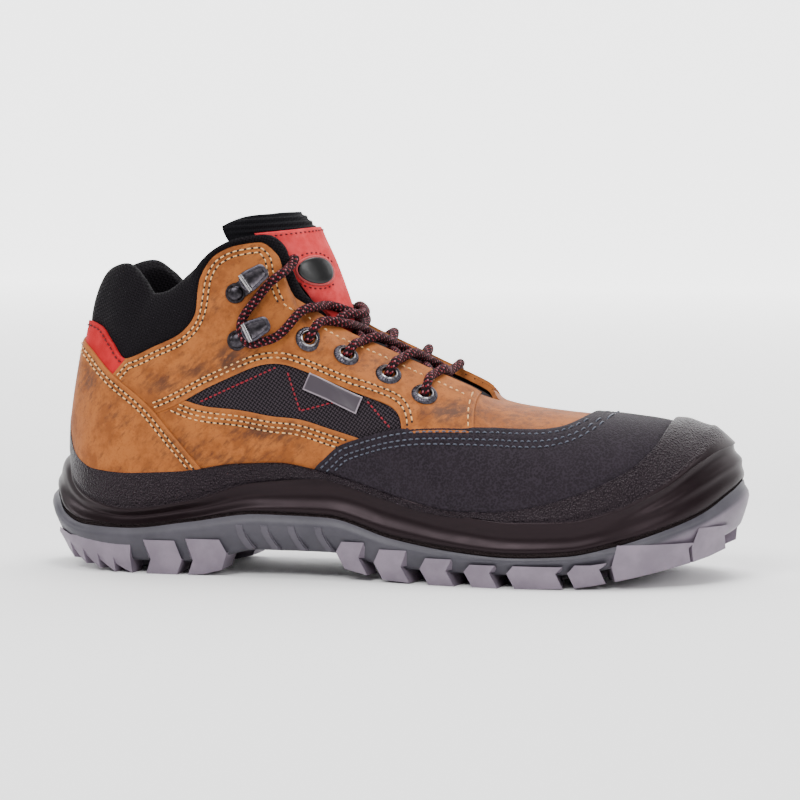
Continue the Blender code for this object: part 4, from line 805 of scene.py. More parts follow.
def weave_group():
    """A plain weave, turned by an angle: a height that rises over each thread and a mask of their sides."""
    tree, given, out = group("weave", {"Pitch": 1000.0, "Turn": 0.7}, {"Height": 0.0, "Cell": 0.0})
    place = node(tree, "ShaderNodeTexCoord").outputs["Object"]
    parts = node(tree, "ShaderNodeSeparateXYZ", {0: place}).outputs
    flat = node(tree, "ShaderNodeCombineXYZ", {0: parts[0], 1: parts[2], 2: 0.0}).outputs[0]
    turned = node(tree, "ShaderNodeVectorRotate", {"Vector": flat, "Angle": given["Turn"]},
                  rotation_type="Z_AXIS")
    u, v, _ = node(tree, "ShaderNodeSeparateXYZ", {0: turned.outputs[0]}).outputs
    waves = []
    for axis in (u, v):
        scaled = maths(tree, "MULTIPLY", axis, given["Pitch"])
        waves.append(maths(tree, "ABSOLUTE", maths(tree, "SINE", scaled)))
        waves.append(maths(tree, "FLOOR", maths(tree, "DIVIDE", scaled, math.pi)))
    over = maths(tree, "MODULO", maths(tree, "ABSOLUTE", maths(tree, "ADD", waves[1], waves[3])), 2.0)
    warp = maths(tree, "MULTIPLY", waves[0], over)
    weft = maths(tree, "MULTIPLY", waves[2], maths(tree, "SUBTRACT", 1.0, over))
    tree.links.new(maths(tree, "ADD", warp, weft), out["Height"])
    tree.links.new(over, out["Cell"])
    return tree


def tan_finish(name, pale, mid, dark):
    """Waxed nubuck: mottled tan with brushed and rubbed darker patches, a paler raw edge, and painted shade
    along the foot of a panel's cut edge.
    """
    made, tree, shader = finish(name, specular_ior_level=0.2, sheen_weight=0.03, sheen_roughness=0.4)
    spots = placed(tree, mottle, Size=48.0, Grain=2600.0)
    clouds = noise(tree, 95.0, 6.0, 0.68)
    brush = noise(tree, 330.0, 5.0, 0.7, stretch=(0.5, 1.0, 1.5), turn=BRUSH_TURN)
    flecks = noise(tree, 1100.0, 4.0, 0.75)
    tone = mixed(tree, band_of(tree, clouds, 0.37, 0.63), mid, pale)
    tone = mixed(tree, maths(tree, "MULTIPLY", band_of(tree, flecks, 0.54, 0.7), 0.42), tone, dark)
    tone = mixed(tree, maths(tree, "MULTIPLY", band_of(tree, brush, 0.52, 0.7), 0.5), tone, dark)
    strokes = band_of(tree, maths(tree, "ADD", brush, maths(tree, "MULTIPLY", field(tree, "scuff"), 0.22)),
                      0.5, 0.72)
    rubbed = maths(tree, "MULTIPLY", field(tree, "scuff"), strokes)
    tone = mixed(tree, maths(tree, "MULTIPLY", spots["Mask"], 0.25), tone, mid)
    tone = mixed(tree, rubbed, tone, dark)
    edge_line = maths(tree, "SUBTRACT", 1.0, band_of(tree, field(tree, "edge"), 0.1, 1.2))
    tone = mixed(tree, maths(tree, "MULTIPLY", edge_line, 0.6), tone, pale)
    # painted shade: where the edge field falls to -1, at the foot of a panel's skirt, the colour turns to a
    # dark brown that stands for the shadow line under the leather's edge
    foot = band_of(tree, maths(tree, "MULTIPLY", field(tree, "edge"), -1.0), 0.25, 0.8)
    tree.links.new(mixed(tree, foot, tone, PAINTED_FOOT_SHADE), shader.inputs["Base Color"])
    tree.links.new(maths(tree, "SUBTRACT", 0.74, maths(tree, "MULTIPLY", rubbed, 0.2)),
                   shader.inputs["Roughness"])
    grained, brushed = [maths(tree, "MULTIPLY", part, 0.5) for part in (spots["Height"], brush)]
    height = maths(tree, "ADD", grained, brushed)
    raised(tree, shader, height, 0.35 * MM, 0.6)
    return made


# PAINTED_FOOT_SHADE is painted shade: the dark brown laid along the foot of each panel's edge.
BRUSH_TURN, PAINTED_FOOT_SHADE = math.radians(42), (0.012, 0.005, 0.003)
TAN = ((0.35, 0.110, 0.023), (0.205, 0.058, 0.011), (0.050, 0.019, 0.010))
tan_leather = tan_finish("tan_nubuck", *TAN)
weave = weave_group()


def cloth_finish(name, low, high, pitch, turn, depth):
    """A woven cloth, darker between its threads: painted shade that follows the weave's height."""
    made, tree, shader = finish(name, roughness=0.85, sheen_weight=0.015, sheen_roughness=0.5,
                                specular_ior_level=0.08)
    threads = placed(tree, weave, Pitch=pitch, Turn=turn)
    fuzz = noise(tree, 1800.0, 3.0)
    # painted shade: the colour follows the thread height, so the gaps between the threads are near black and
    # the crowns keep the cloth's colour
    tone = mixed(tree, band_of(tree, threads["Height"], 0.35, 0.95), low, high)
    tree.links.new(mixed(tree, maths(tree, "MULTIPLY", fuzz, 0.35), tone, low), shader.inputs["Base Color"])
    raised(tree, shader, threads["Height"], depth, 0.8)
    return made


side_cloth = cloth_finish("side_textile", (0.0010, 0.0008, 0.0012), (0.046, 0.036, 0.044), 2300.0, 0.62,
                          0.4 * MM)
lining = cloth_finish("lining_cloth", (0.002, 0.002, 0.0025), (0.007, 0.007, 0.008), 4200.0, 0.0, 0.2 * MM)
UPPER_LEVELS, WINDOW_TUCK = np.linspace(0, 1, 76), 3.5
T, S = np.meshgrid(ROUND, UPPER_LEVELS, indexing="ij")
seen = side_view(last(T, S))
outer = shell(T, S, -creased(seen).reshape(T.shape))
inner = shell(T, S, -WALL)
count, levels = T.shape
outer_faces = grid_faces(count, levels, closed=True)
rows = np.arange(count)
following = (rows + 1) % count
top_edge = np.stack([rows * levels + levels - 1, following * levels + levels - 1], -1)
low_edge = np.stack([following * levels, rows * levels], -1)
rim_faces = np.vstack([np.column_stack([e, e[:, ::-1] + count * levels]) for e in (top_edge, low_edge)])
faces = np.vstack([outer_faces, outer_faces[:, ::-1] + count * levels, rim_faces])
window = np.vstack([smooth_line(TEXTILE_LOW), smooth_line(MUDGUARD_TOP[:3]), smooth_line(TEXTILE_TOP)[::-1]])
in_window = depth_in(window, side_view(last(T, S).reshape(-1, 3)[outer_faces].mean(axis=1))) > -WINDOW_TUCK
finish_of = np.concatenate([in_window, np.full(len(outer_faces), 2), np.zeros(len(rim_faces))])


def scuffs_at(points):
    """Where the leather is rubbed dark, seen from the side: a share from 0 to 1."""
    rubbed = np.zeros(len(points))
    for x, z, wide, high, share in SCUFFS:
        off = (points - (x, z)) / (wide, high)
        rubbed = np.maximum(rubbed, share * np.exp(-(off**2).sum(-1)))
    return rubbed


SCUFFS = [
    (-62, 93, 9, 7, 1.0), (-76, 88, 12, 5, 0.8), (-92, 82, 12, 6, 0.75), (-45, 62, 24, 6, 0.8),
    (-84, 56, 14, 7, 0.6), (-66, 50, 30, 4, 0.6), (-128, 82, 8, 9, 0.75), (-112, 66, 10, 7, 0.35),
    (33, 71, 14, 5, 0.9), (0, 90, 18, 4, 0.45), (60, 68, 20, 5, 0.5), (-68, 116, 4, 12, 0.45),
    (-24, 96, 5, 6, 0.5),
]
fields = {"scuff": np.concatenate([scuffs_at(seen)] * 2), "edge": np.full(2 * T.size, 9.0)}
add_piece("upper_shell", np.stack([outer, inner]), faces, [tan_leather, side_cloth, lining], "tan_leather",
          ["upper"], fields, finish_of, sharp=60)

# Insole. A loose footbed of lined foam on the midsole's floor, with a rounded top edge.
INSOLE = 4.0 * MM
base = shell(ROUND, np.zeros_like(ROUND), -(WALL + 2 * GAP))
base[:, 2] = floor_at(base[:, 0])
bed_rings = [base]
for inset, lift in ((0.0, 0.7), (0.6 * MM, 0.95), (2.0 * MM, 1.0), (8.0 * MM, 0.93)):
    moved = shell(ROUND, np.zeros_like(ROUND), -(WALL + 2 * GAP + inset))
    moved[:, 2] = floor_at(moved[:, 0]) + INSOLE * lift
    bed_rings.append(moved)
points = np.stack(bed_rings, axis=1)
add_piece("insole_pad", points, stack_faces(*points.shape[:2]), [lining], "lining", ["insole"], sharp=50)

# Tongue. Black cloth over foam, sewn at the foot of the throat and standing up through the collar. Its lower
# part lies under the eyestays, and its top is ribbed across.
Span = namedtuple("Span", "rib depth under bow thick")
TONGUE_LOW = [
    Span("throat_foot", 3.6, 0.80, 0, 3), Span("stay_end", 3.2, 0.80, 0.14, 3.5),
    Span("throat_3", 3.2, 0.80, 0.06, 4), Span("throat_2", 3.4, 0.82, 0.06, 4.5),
    Span("throat_1", 3.8, 0.85, 0.14, 5),
]
Arch = namedtuple("Arch", "x z half back fall thick")
TONGUE_HIGH = [
    Arch(-20.6, 113.5, 17, 24, 3, 6), Arch(-23.4, 121.5, 17.5, 25, 3, 7), Arch(-27.5, 132, 20, 30, 3, 8),
    Arch(-32.3, 142, 22, 33, 3, 9), Arch(-35.5, 148.5, 23, 34, 2.5, 9), Arch(-42, 155, 22, 29, 2, 6),
]
TONGUE_POINTS, MIDDLE = 11, 1.5 * MM
LAST_ROW = len(TONGUE_LOW) + len(TONGUE_HIGH) - 1


def tongue_span(span):
    """Points across the tongue, from under the lateral eyestay over the throat to under the medial one."""
    place, depth = PLACE[span.rib], span.depth * MM
    up = np.linspace(span.under, 1, 9)
    lateral, medial = (shell(np.full_like(up, t), up, -depth) for t in (place, 2 - place))
    width = medial[-1] - lateral[-1]
    path = [lateral]
    if span.bow:
        bows = []
        for t, way in ((place, width), (2 - place, -width)):
            normal = outward_of(t, 1.0)
            bows.append((way - normal * (way @ normal)) * span.bow)
        f = np.linspace(0, 1, 13)[1:-1, None]
        first, second = lateral[-1] + bows[0], medial[-1] + bows[1]
        path.append(lateral[-1] * (1 - f) ** 3 + 3 * first * f * (1 - f) ** 2
                    + 3 * second * f**2 * (1 - f) + medial[-1] * f**3)
    path = np.vstack(path + [medial[::-1]])
    travelled = lengths(path)
    even = np.linspace(0, travelled[-1], TONGUE_POINTS)
    return np.column_stack([np.interp(even, travelled, path[:, k]) for k in range(3)])


def tongue_arch(arch):
    """Points across the tongue where it stands up inside the collar."""
    angle = np.linspace(-0.5 * math.pi, 0.5 * math.pi, TONGUE_POINTS)
    x = arch.x * MM - arch.back * MM * (1 - np.cos(angle))
    z = arch.z * MM - arch.fall * MM * (1 - np.cos(angle))
    return np.column_stack([x, MIDDLE + arch.half * MM * np.sin(angle), z])


sections = [tongue_span(span) for span in TONGUE_LOW] + [tongue_arch(arch) for arch in TONGUE_HIGH]
tongue_outer = np.stack(sections)[:, ::-1]
tongue_thick = np.concatenate([column(TONGUE_LOW, "thick"), column(TONGUE_HIGH, "thick")])


def on_tongue(row, share, out=0.0):
    """Points above the tongue: row counts its sections from the toe, share runs from medial to lateral."""
    row, share = np.broadcast_arrays(np.asarray(row, float), np.asarray(share, float))

    def smooth(row, share):
        knots = np.arange(len(tongue_outer), dtype=float)
        grid = tongue_outer.reshape(len(knots), -1)
        lines = along(knots, grid, np.gradient(grid, axis=0), row.ravel()).reshape(-1, TONGUE_POINTS, 3)
        slopes = np.gradient(lines, axis=1)
        at = np.clip(share.ravel(), 0, 1) * (TONGUE_POINTS - 1)
        i = np.clip(at.astype(int), 0, TONGUE_POINTS - 2)
        k, f = np.arange(len(i)), (at - i)[:, None]
        rise = lines[k, i + 1] - lines[k, i]
        first, final = slopes[k, i], slopes[k, i + 1]
        bend = (3 * rise - 2 * first - final) + f * (first + final - 2 * rise)
        return lines[k, i] + f * (first + f * bend)

    d = 0.02
    up = smooth(np.clip(row + d, 0, LAST_ROW), share) - smooth(np.clip(row - d, 0, LAST_ROW), share)
    over = smooth(row, np.clip(share + d, 0, 1)) - smooth(row, np.clip(share - d, 0, 1))
    normal = unit(np.cross(up, over))
    lifted = smooth(row, share) + normal * np.broadcast_to(out, row.shape).reshape(-1, 1)
    return lifted.reshape(*row.shape, 3)


def sheet_faces(columns, levels):
    """Quads of two grids, a front one and a rear one, closed along their border."""
    front = grid_faces(columns, levels)
    border = np.concatenate([np.arange(columns) * levels, (columns - 1) * levels + np.arange(1, levels),
                             np.arange(columns - 2, -1, -1) * levels + levels - 1,
                             np.arange(levels - 2, 0, -1)])
    following = np.roll(border, -1)
    hem = np.stack([following, border, border + columns * levels, following + columns * levels], -1)
    return np.vstack([front, front[:, ::-1] + columns * levels, hem])


tongue_cloth = cloth_finish("tongue_textile", (0.0018, 0.0018, 0.0025), (0.0085, 0.008, 0.0105), 3600.0, 0.0,
                            0.22 * MM)
RIB_PITCH, RIB_TALL, RIBBED_FROM, TOP_CORNER = 0.34, 0.35 * MM, 8.3, 0.06
R, H = np.meshgrid(np.linspace(0, LAST_ROW, 171), np.linspace(0, 1, 61), indexing="ij")
R = R * (1 - TOP_CORNER * (2 * abs(H - 0.5)) ** 7)
ribbed = np.clip((R - RIBBED_FROM) / 0.4, 0, 1) * RIB_TALL * np.sin(R / RIB_PITCH * 2 * math.pi)
side_fade = np.clip(1 - (2 * abs(H - 0.5)) ** 10, 0, 1) ** 0.5
end_fade = np.sqrt(np.clip(1 - np.clip((R / R[-1] - 0.96) / 0.04, 0, 1) ** 2, 0, 1))
thick = np.interp(R, np.arange(len(tongue_thick)), tongue_thick) * side_fade * (0.25 + 0.75 * end_fade)
front = on_tongue(R, H, ribbed * side_fade - (1 - end_fade) * 1.2 * MM - (1 - side_fade) * 1.0 * MM)
rear = on_tongue(R, H, -thick - 0.3 * MM)
count, levels = R.shape
faces = sheet_faces(count, levels)
tongue = add_piece("tongue_pad", np.stack([front, rear]), faces, [tongue_cloth], "black_textile", ["tongue"],
                   sharp=70)

# Collar. Woven black textile over thick foam along the leather's top edge, thinner along the eyestays,
# turned in at its crest and sewn behind the leather.
Crest = namedtuple("Crest", "rib x lateral medial z pad")
COLLAR = [
    Crest("heel", -127.5, 1, 1, 126, 9), Crest("heel_side", -122.5, -13, 15, 131, 9),
    Crest("tab", -115, -20, 22, 133, 9), Crest("tab_front", -107, -25.5, 27.5, 128, 9),
    Crest("dip", -99, -29.5, 31.5, 120.5, 8), Crest("ankle", -92.5, -32.5, 33.5, 121.5, 7),
    Crest("ankle_mid", -86.5, -34, 35, 125, 7), Crest("step_foot", -82, -34.5, 35.5, 129, 7),
    Crest("step_mid", -77, -35, 36, 133.5, 6), Crest("step_top", -70, -34.5, 35.5, 138.8, 5),
    Crest("stay_back", -60, -32.5, 34.5, 144, 4.5), Crest("stay_top", -48.5, -27.5, 30.5, 146, 4),
    Crest("stay_corner", -41, -23, 26, 140.5, 4), Crest("stay_front", -38, -21, 24, 130, 4),
    Crest("stay_bend", -34, -20, 23, 121.5, 4), Crest("throat_top", -28, -19, 22, 115.5, 4),
]
crest_places = np.array([PLACE[crest.rib] for crest in COLLAR])
crest_sides = [np.column_stack([column(COLLAR, name) for name in ("x", side, "z", "pad")])
               for side in ("lateral", "medial")]
crest_knots = np.concatenate([-crest_places[:0:-1], crest_places])
crest_rows = np.vstack([crest_sides[1][:0:-1], crest_sides[0]])
reach = crest_places[-1]
t = np.linspace(-reach, reach, 300)
found = along(crest_knots, crest_rows, smooth_slopes(crest_knots, crest_rows), t)
crest, pad = found[:, :3], found[:, 3:]
top, normal = last(t, np.ones_like(t)), outward_of(t, np.ones_like(t))
climb = crest - top
climb_tall = np.linalg.norm(climb, axis=1, keepdims=True)
climb /= climb_tall
inward = unit(np.cross(climb, np.gradient(top, axis=0)))
inward *= np.sign((inward * -normal).sum(axis=1, keepdims=True))
ones = np.ones_like(t)
loop = [
    shell(t, 0.985 * ones, -0.4 * WALL), top + climb * 0.6 * MM - inward * 0.3 * MM,
    top + climb * climb_tall * 0.35 - inward * 1.5 * MM, top + climb * climb_tall * 0.68 - inward * 1.6 * MM,
    crest - climb * 2.2 * MM - inward * 0.3 * MM, crest + inward * 0.3 * pad,
    crest + inward * 0.75 * pad - climb * 1.5 * MM,
    crest + inward * pad - climb * np.minimum(climb_tall * 0.6, 6 * MM),
    top + inward * (WALL + 5 * GAP + pad * 0.8), shell(t, 0.92 * ones, -(WALL + 5 * GAP + 0.7 * pad[:, 0])),
    shell(t, 0.9 * ones, -1.02 * WALL), shell(t, 0.95 * ones, -1.02 * WALL),
]
values = np.stack([one.ravel() for one in [loop[-1], *loop, loop[0], loop[1]]])
knots = np.arange(len(values), dtype=float)
at = np.linspace(1, len(loop) + 1, len(loop) * 4, endpoint=False)
points = along(knots, values, np.gradient(values, axis=0), at).reshape(len(at), len(t), 3).transpose(1, 0, 2)
count, levels = points.shape[:2]
faces = [tuple(face) for face in grid_faces(count, levels)]
for i in range(count - 1):
    faces.append(((i + 1) * levels - 1, (i + 2) * levels - 1, (i + 1) * levels, i * levels))
faces += [tuple(range(levels)), tuple((count - 1) * levels + j for j in reversed(range(levels)))]
collar_cloth = cloth_finish("collar_textile", (0.0008, 0.0007, 0.0010), (0.0085, 0.0065, 0.009), 2900.0, 0.35,
                            0.3 * MM)
collar = add_piece("collar_pad", points, faces, [collar_cloth], "black_textile", ["collar"], sharp=75)

# Panels. Leather laid on the upper and sewn along its edges: the dark mudguard round the toe, the heel
# counter, the coral tab above it, and on each side a quarter that carries the eyelets and a lower quarter.
tab_edge_line = side_view(last(np.linspace(0, PLACE["dip"], 60), 1.0))
EDGE_ROLL, EDGE_WIDE, SEAM_DEEP, SEAM_WIDE = 0.5 * MM, 0.9, 0.28 * MM, 0.75
PANEL_COLUMNS, PANEL_LEVELS = 400, 110
GUARD_THICK, TAB_THICK, QUARTER_THICK = 1.75 * MM, 1.3 * MM, 1.5 * MM
COUNTER_OUT, COUNTER_THICK, LOWER_OUT, LOWER_THICK = 0.75 * MM, 1.75 * MM, 0.1 * MM, 1.0 * MM


def shifted(line, distance):
    """A flat line, moved to its left by a distance in its own units."""
    way = unit(np.gradient(line, axis=0))
    return line + np.column_stack([-way[:, 1], way[:, 0]]) * distance


def panel(name, polygon, span, thick, finishes, slot, replaces, seams=(), base_out=0.0):
    """A panel inside an outline seen from the side, with a rolled edge and a trough along each seam."""
    columns = max(24, int((span[1] - span[0]) * PANEL_COLUMNS))
    T, S = np.meshgrid(np.linspace(*span, columns), np.linspace(0.0, 1, PANEL_LEVELS), indexing="ij")
    T, S = T.ravel(), S.ravel()
    faces = grid_faces(columns, PANEL_LEVELS)
    depth = depth_in(polygon, side_view(last(T, S)))
    faces = faces[depth[faces].mean(axis=1) > 0]
    used, faces = np.unique(faces, return_inverse=True)
    faces = faces.reshape(-1, 4)
    T, S = T[used], S[used]
    ends = np.concatenate([faces[:, [k, (k + 1) % 4]] for k in range(4)])
    order = np.sort(ends, axis=1)
    _, first, times = np.unique(order, axis=0, return_index=True, return_counts=True)
    border = ends[first[times == 1]]
    rim = np.unique(border)
    free = rim[(S[rim] < 1 - 1e-9) & (S[rim] > 1e-9)]
    for _ in range(4):
        t, s, d = T[free], S[free], 2e-4
        here = depth_in(polygon, side_view(last(t, s)))
        slope_t = (depth_in(polygon, side_view(last(t + d, s))) - here) / d
        slope_s = (depth_in(polygon, side_view(last(t, np.minimum(s + d, 1)))) - here) / d
        size_t = (np.linalg.norm(last(t + d, s) - last(t, s), axis=1) / d / MM) ** 2
        size_s = (np.linalg.norm(last(t, np.minimum(s + d, 1)) - last(t, s), axis=1) / d / MM) ** 2
        total = slope_t**2 / size_t + slope_s**2 / np.maximum(size_s, 1e-9) + 1e-9
        step = np.clip(here, -1.5, 1.5) / total
        T[free] -= np.clip(step * slope_t / size_t, -0.006, 0.006)
        S[free] = np.clip(s - np.clip(step * slope_s / np.maximum(size_s, 1e-9), -0.02, 0.02), 0, 1)
    seen = side_view(last(T, S))
    depth = np.maximum(depth_in(polygon, seen), 0)
    out = base_out + thick - EDGE_ROLL * np.exp(-depth / EDGE_WIDE) - creased(seen)
    for line in seams:
        out -= SEAM_DEEP * np.exp(-((line_gap(line, seen) / SEAM_WIDE) ** 2))
    rings = [shell(T, S, out)]
    for share in (0.45, -0.35):
        rings.append(shell(T[rim], S[rim], base_out + thick * share))
    place = np.zeros(len(T), int)
    place[rim] = np.arange(len(rim))
    a, b = border[:, 0], border[:, 1]
    upper_a, upper_b = len(T) + place[a], len(T) + place[b]
    skirt = np.vstack([np.stack([b, a, upper_a, upper_b], -1),
                       np.stack([upper_b, upper_a, upper_a + len(rim), upper_b + len(rim)], -1)])
    # the skirt's lower ring gets an edge of -1, where the leather finish paints shade along the foot of the
    # edge
    fields = {"edge": np.concatenate([depth, np.zeros(len(rim)), -np.ones(len(rim))]),
              "scuff": np.concatenate([scuffs_at(seen), np.zeros(2 * len(rim))])}
    return add_piece(name, np.vstack(rings), np.vstack([faces, skirt]), finishes, slot, replaces, fields,
                     sharp=65)


nubuck, tree, shader = finish("dark_nubuck", roughness=0.8, specular_ior_level=0.16, sheen_weight=0.03)
spots = placed(tree, mottle, Size=90.0, Grain=2400.0)
pores = pebbles(tree, 1150.0)
tone = mixed(tree, spots["Mask"], (0.0085, 0.0055, 0.0085), (0.0125, 0.0085, 0.0125))
tree.links.new(mixed(tree, band_of(tree, pores, 0.35, 0.75), tone, (0.020, 0.0145, 0.021)),
               shader.inputs["Base Color"])
raised(tree, shader, maths(tree, "ADD", pores, spots["Height"]), 0.3 * MM, 0.6)


def suede_finish(name, dark, pale):
    """Short-napped suede, mottled in two tones."""
    made, tree, shader = finish(name, roughness=0.9, sheen_weight=0.03, sheen_roughness=0.4,
                                specular_ior_level=0.15)
    spots = placed(tree, mottle, Size=140.0, Grain=2800.0)
    tree.links.new(mixed(tree, spots["Mask"], dark, pale), shader.inputs["Base Color"])
    raised(tree, shader, spots["Height"], 0.3 * MM, 0.6)
    return made


coral_suede = suede_finish("coral_suede", (0.36, 0.006, 0.009), (0.46, 0.014, 0.019))
label_coral = suede_finish("label_suede", (0.52, 0.030, 0.034), (0.66, 0.060, 0.064))

counter_line = smooth_line(COUNTER_EDGE[4:])
counter_top = smooth_line(COUNTER_EDGE[:5])
quarter_seam = smooth_line(QUARTER_SEAM)
low_line, high_line = smooth_line(TEXTILE_LOW), smooth_line(TEXTILE_TOP)
guard_rear, guard_top = smooth_line(MUDGUARD_REAR), smooth_line(MUDGUARD_TOP)
guard_edge = np.vstack([guard_rear, guard_top[1:]])
tab_line = smooth_line(TAB_FRONT)
stay_line = smooth_line(STAY_FRONT)
rim_line = np.column_stack([np.linspace(-150, 124, 240), rim_at(np.linspace(-150, 124, 240) * MM) / MM - 2.5])


def rim_between(low, high):
    return rim_line[(rim_line[:, 0] > low) & (rim_line[:, 0] < high)]


counter_full = smooth_line(COUNTER_EDGE[1:])
collar_edge = side_view(last(np.linspace(PLACE["dip"] + 0.005, PLACE["stay_bend"], 120), 1.0))
collar_edge = np.vstack([tab_line[tab_line[:, 1] < collar_edge[0, 1] - 1], collar_edge])
front_edge = side_view(last(np.linspace(PLACE["stay_bend"], PLACE["stay_end"], 60), 1.0))
quarter_low = np.vstack([quarter_seam, high_line[1:]])
guard_seams = [shifted(guard_edge, -offset) for offset in (2.0, 4.7, 6.8)]
counter_seams = [shifted(counter_full, -offset) for offset in (2.4, 4.4)]
lower_seams = [shifted(smooth_line([(-90, 78), (-86, 76.6), *TEXTILE_LOW]), -offset)
               for offset in (2.4, 4.4, 6.4)]
stay_seams = [shifted(quarter_low, offset) for offset in (2.5, 4.5)]
collar_seams = [shifted(collar_edge, -offset) for offset in (2.2, 4.2)]
front_seam = shifted(front_edge, -3.0)
toe_stay_seam = shifted(stay_line, 2.2)
tab_seams = [shifted(tab_edge_line, -2.0)]
sole_cover = np.vstack([rim_line + (0, 3.4), [(124, -20), (-150, -20)]])

guard = np.vstack([guard_edge, [(130, 92), (130, 66)], rim_between(-27, 122.4)[::-1]])
panel("mudguard_leather", guard, (PLACE["step_foot"], 2 - PLACE["step_foot"]), GUARD_THICK, [nubuck],
      "dark_nubuck", ["mudguard"], guard_seams)
counter = np.vstack([counter_top, counter_line[1:], rim_between(-141, -74)[::-1], [(-165, 62)]])
panel("counter_leather", counter, (-PLACE["step_foot"], PLACE["step_foot"]), COUNTER_THICK, [tan_leather],
      "tan_leather", ["heel_counter"], counter_seams, COUNTER_OUT)
tab = np.vstack([shifted(counter_top, -2.5), tab_line[1:], [(-165, 125)]])
panel("tab_suede", tab, (-PLACE["dip"], PLACE["dip"]), TAB_THICK, [coral_suede], "coral_suede",
      ["heel_tab"], tab_seams)
quarter = np.vstack([shifted(counter_line, -3)[12::-1], tab_line, [(-104, 160), (40.5, 160)], stay_line[::-1],
                     [(40, 60), (18, 60)], high_line[::-1], quarter_seam[::-1]])
lower = np.vstack([quarter_seam, low_line[1:], shifted(guard_rear, -3)[::-1], rim_between(-74, -27)[::-1],
                   shifted(counter_line, -3)[::-1]])
for side, span in (("lateral", (0.02, 0.72)), ("medial", (1.28, 1.98))):
    panel("quarter_leather_" + side, quarter, span, QUARTER_THICK, [tan_leather], "tan_leather",
          ["quarter_" + side], [*stay_seams, *collar_seams])
    panel("lower_quarter_leather_" + side, lower, span, LOWER_THICK, [tan_leather], "tan_leather",
          ["lower_quarter_" + side], lower_seams, LOWER_OUT)

# Stitching. Short dashes of waxed thread sunk at both ends, laid in rows beside the panels' edges: cream on
# the tan leather, blue-grey on the mudguard, dark red on the tab and red on the windows.
Seam = namedtuple("Seam", "line out pitch long covers")
STITCH_LIFT, STITCH_SIDES = np.array((-0.45, 0.1, 0.22, 0.1, -0.45)) * MM, 6
STITCH_WIDE = np.array((0.25, 0.33, 0.36, 0.33, 0.25)) * MM
STITCH_POINTS = len(STITCH_WIDE)
TAN_DASH, GUARD_DASH, WINDOW_DASH, TAB_DASH = (2.8, 1.95), (2.7, 1.8), (2.2, 1.7), (2.3, 1.6)
HOLE_LONG, HOLE_WIDE, HOLE_SIDES = 0.62 * MM, 0.46 * MM, 8
HOLE_LEVELS = ((1.0, -0.3 * MM), (1.0, 0.17 * MM), (0.6, 0.22 * MM))


def spot(x, z, side):
    """t and s of the points on one side of the upper at places seen from the side, in millimetres."""
    x, z = np.broadcast_arrays(np.asarray(x, float), np.asarray(z, float))
    goal = np.stack([x.ravel(), z.ravel()], -1)

    def seen_at(t, s):
        return side_view(last(t if side == "lateral" else 2 - t, s))

    try_t, try_s = np.meshgrid(np.linspace(0.005, 0.995, 150), np.linspace(0.02, 1, 50), indexing="ij")
    tries = seen_at(try_t, try_s)
    nearest = [((part[:, None] - tries) ** 2).sum(-1).argmin(axis=1)
               for part in np.array_split(goal, len(goal) // 300 + 1)]
    nearest = np.concatenate(nearest)
    t, s, d = try_t.ravel()[nearest], try_s.ravel()[nearest], 1e-4
    for _ in range(8):
        here = seen_at(t, s)
        by_t, by_s = (seen_at(t + d, s) - here) / d, (seen_at(t, s + d) - here) / d
        miss = goal - here
        scale = by_t[:, 0] * by_s[:, 1] - by_t[:, 1] * by_s[:, 0]
        scale = np.where(abs(scale) < 1e-3, 1e-3, scale)
        step_t = (miss[:, 0] * by_s[:, 1] - miss[:, 1] * by_s[:, 0]) / scale
        step_s = (miss[:, 1] * by_t[:, 0] - miss[:, 0] * by_t[:, 1]) / scale
        t = np.clip(t + np.clip(step_t, -0.01, 0.01), 0.002, 0.998)
        s = np.clip(s + np.clip(step_s, -0.03, 0.03), 0, 1)
    t = t if side == "lateral" else 2 - t
    return t.reshape(x.shape), s.reshape(x.shape)


def dashes(line, pitch, long):
    """Points along each stitch of a row, on a line of any number of axes."""
    travelled = lengths(line)
    starts = np.arange(0.4 * pitch, travelled[-1] - long, pitch)
    at = starts[:, None] + np.linspace(0, long, STITCH_POINTS)
    return np.stack([np.interp(at, travelled, line[:, k]) for k in range(line.shape[1])], -1)


def threads(middle, normal):
    """Stitches along rows of points, with the way out of the surface at each point."""
    way = np.gradient(middle, axis=1)
    across = unit(np.cross(normal, way))
    angle = np.arange(STITCH_SIDES) * 2 * math.pi / STITCH_SIDES
    aside = across[:, None].transpose(0, 2, 1, 3)
    ring = np.cos(angle)[:, None] * aside + np.sin(angle)[:, None] * normal[:, :, None]
    points = middle[:, :, None] + ring * STITCH_WIDE[:, None, None]
    one = grid_faces(STITCH_SIDES, STITCH_POINTS, closed=True)
    one = one % STITCH_POINTS * STITCH_SIDES + one // STITCH_POINTS
    step = STITCH_POINTS * STITCH_SIDES
    caps = np.array([np.arange(STITCH_SIDES)[::-1], np.arange(step - STITCH_SIDES, step)])
    faces = []
    for k in range(len(middle)):
        faces += (one[:, ::-1] + k * step).tolist() + (caps[:, ::-1] + k * step).tolist()
    return points.reshape(-1, 3), faces


def needle_holes(middle, way, normal):
    """Points and faces of the dark pads between stitches, painted with the shade of the needle holes: low
    oval pads, sunk in the leather.
    """
    way = unit(way)
    across = np.cross(normal, way)
    angle = np.arange(HOLE_SIDES) * 2 * math.pi / HOLE_SIDES
    rim = np.cos(angle)[:, None] * way[:, None] * HOLE_LONG
    rim = rim + np.sin(angle)[:, None] * across[:, None] * HOLE_WIDE
    levels = [middle[:, None] + rim * size + normal[:, None] * lift for size, lift in HOLE_LEVELS]
    points = np.stack(levels, axis=2)
    one = [tuple(face) for face in grid_faces(HOLE_SIDES, len(levels), closed=True)]
    one.append(tuple(k * len(levels) for k in reversed(range(HOLE_SIDES))))
    one.append(tuple(k * len(levels) + len(levels) - 1 for k in range(HOLE_SIDES)))
    step = HOLE_SIDES * len(levels)
    faces = [tuple(k + i * step for k in face) for i in range(len(middle)) for face in one]
    return points.reshape(-1, 3), faces


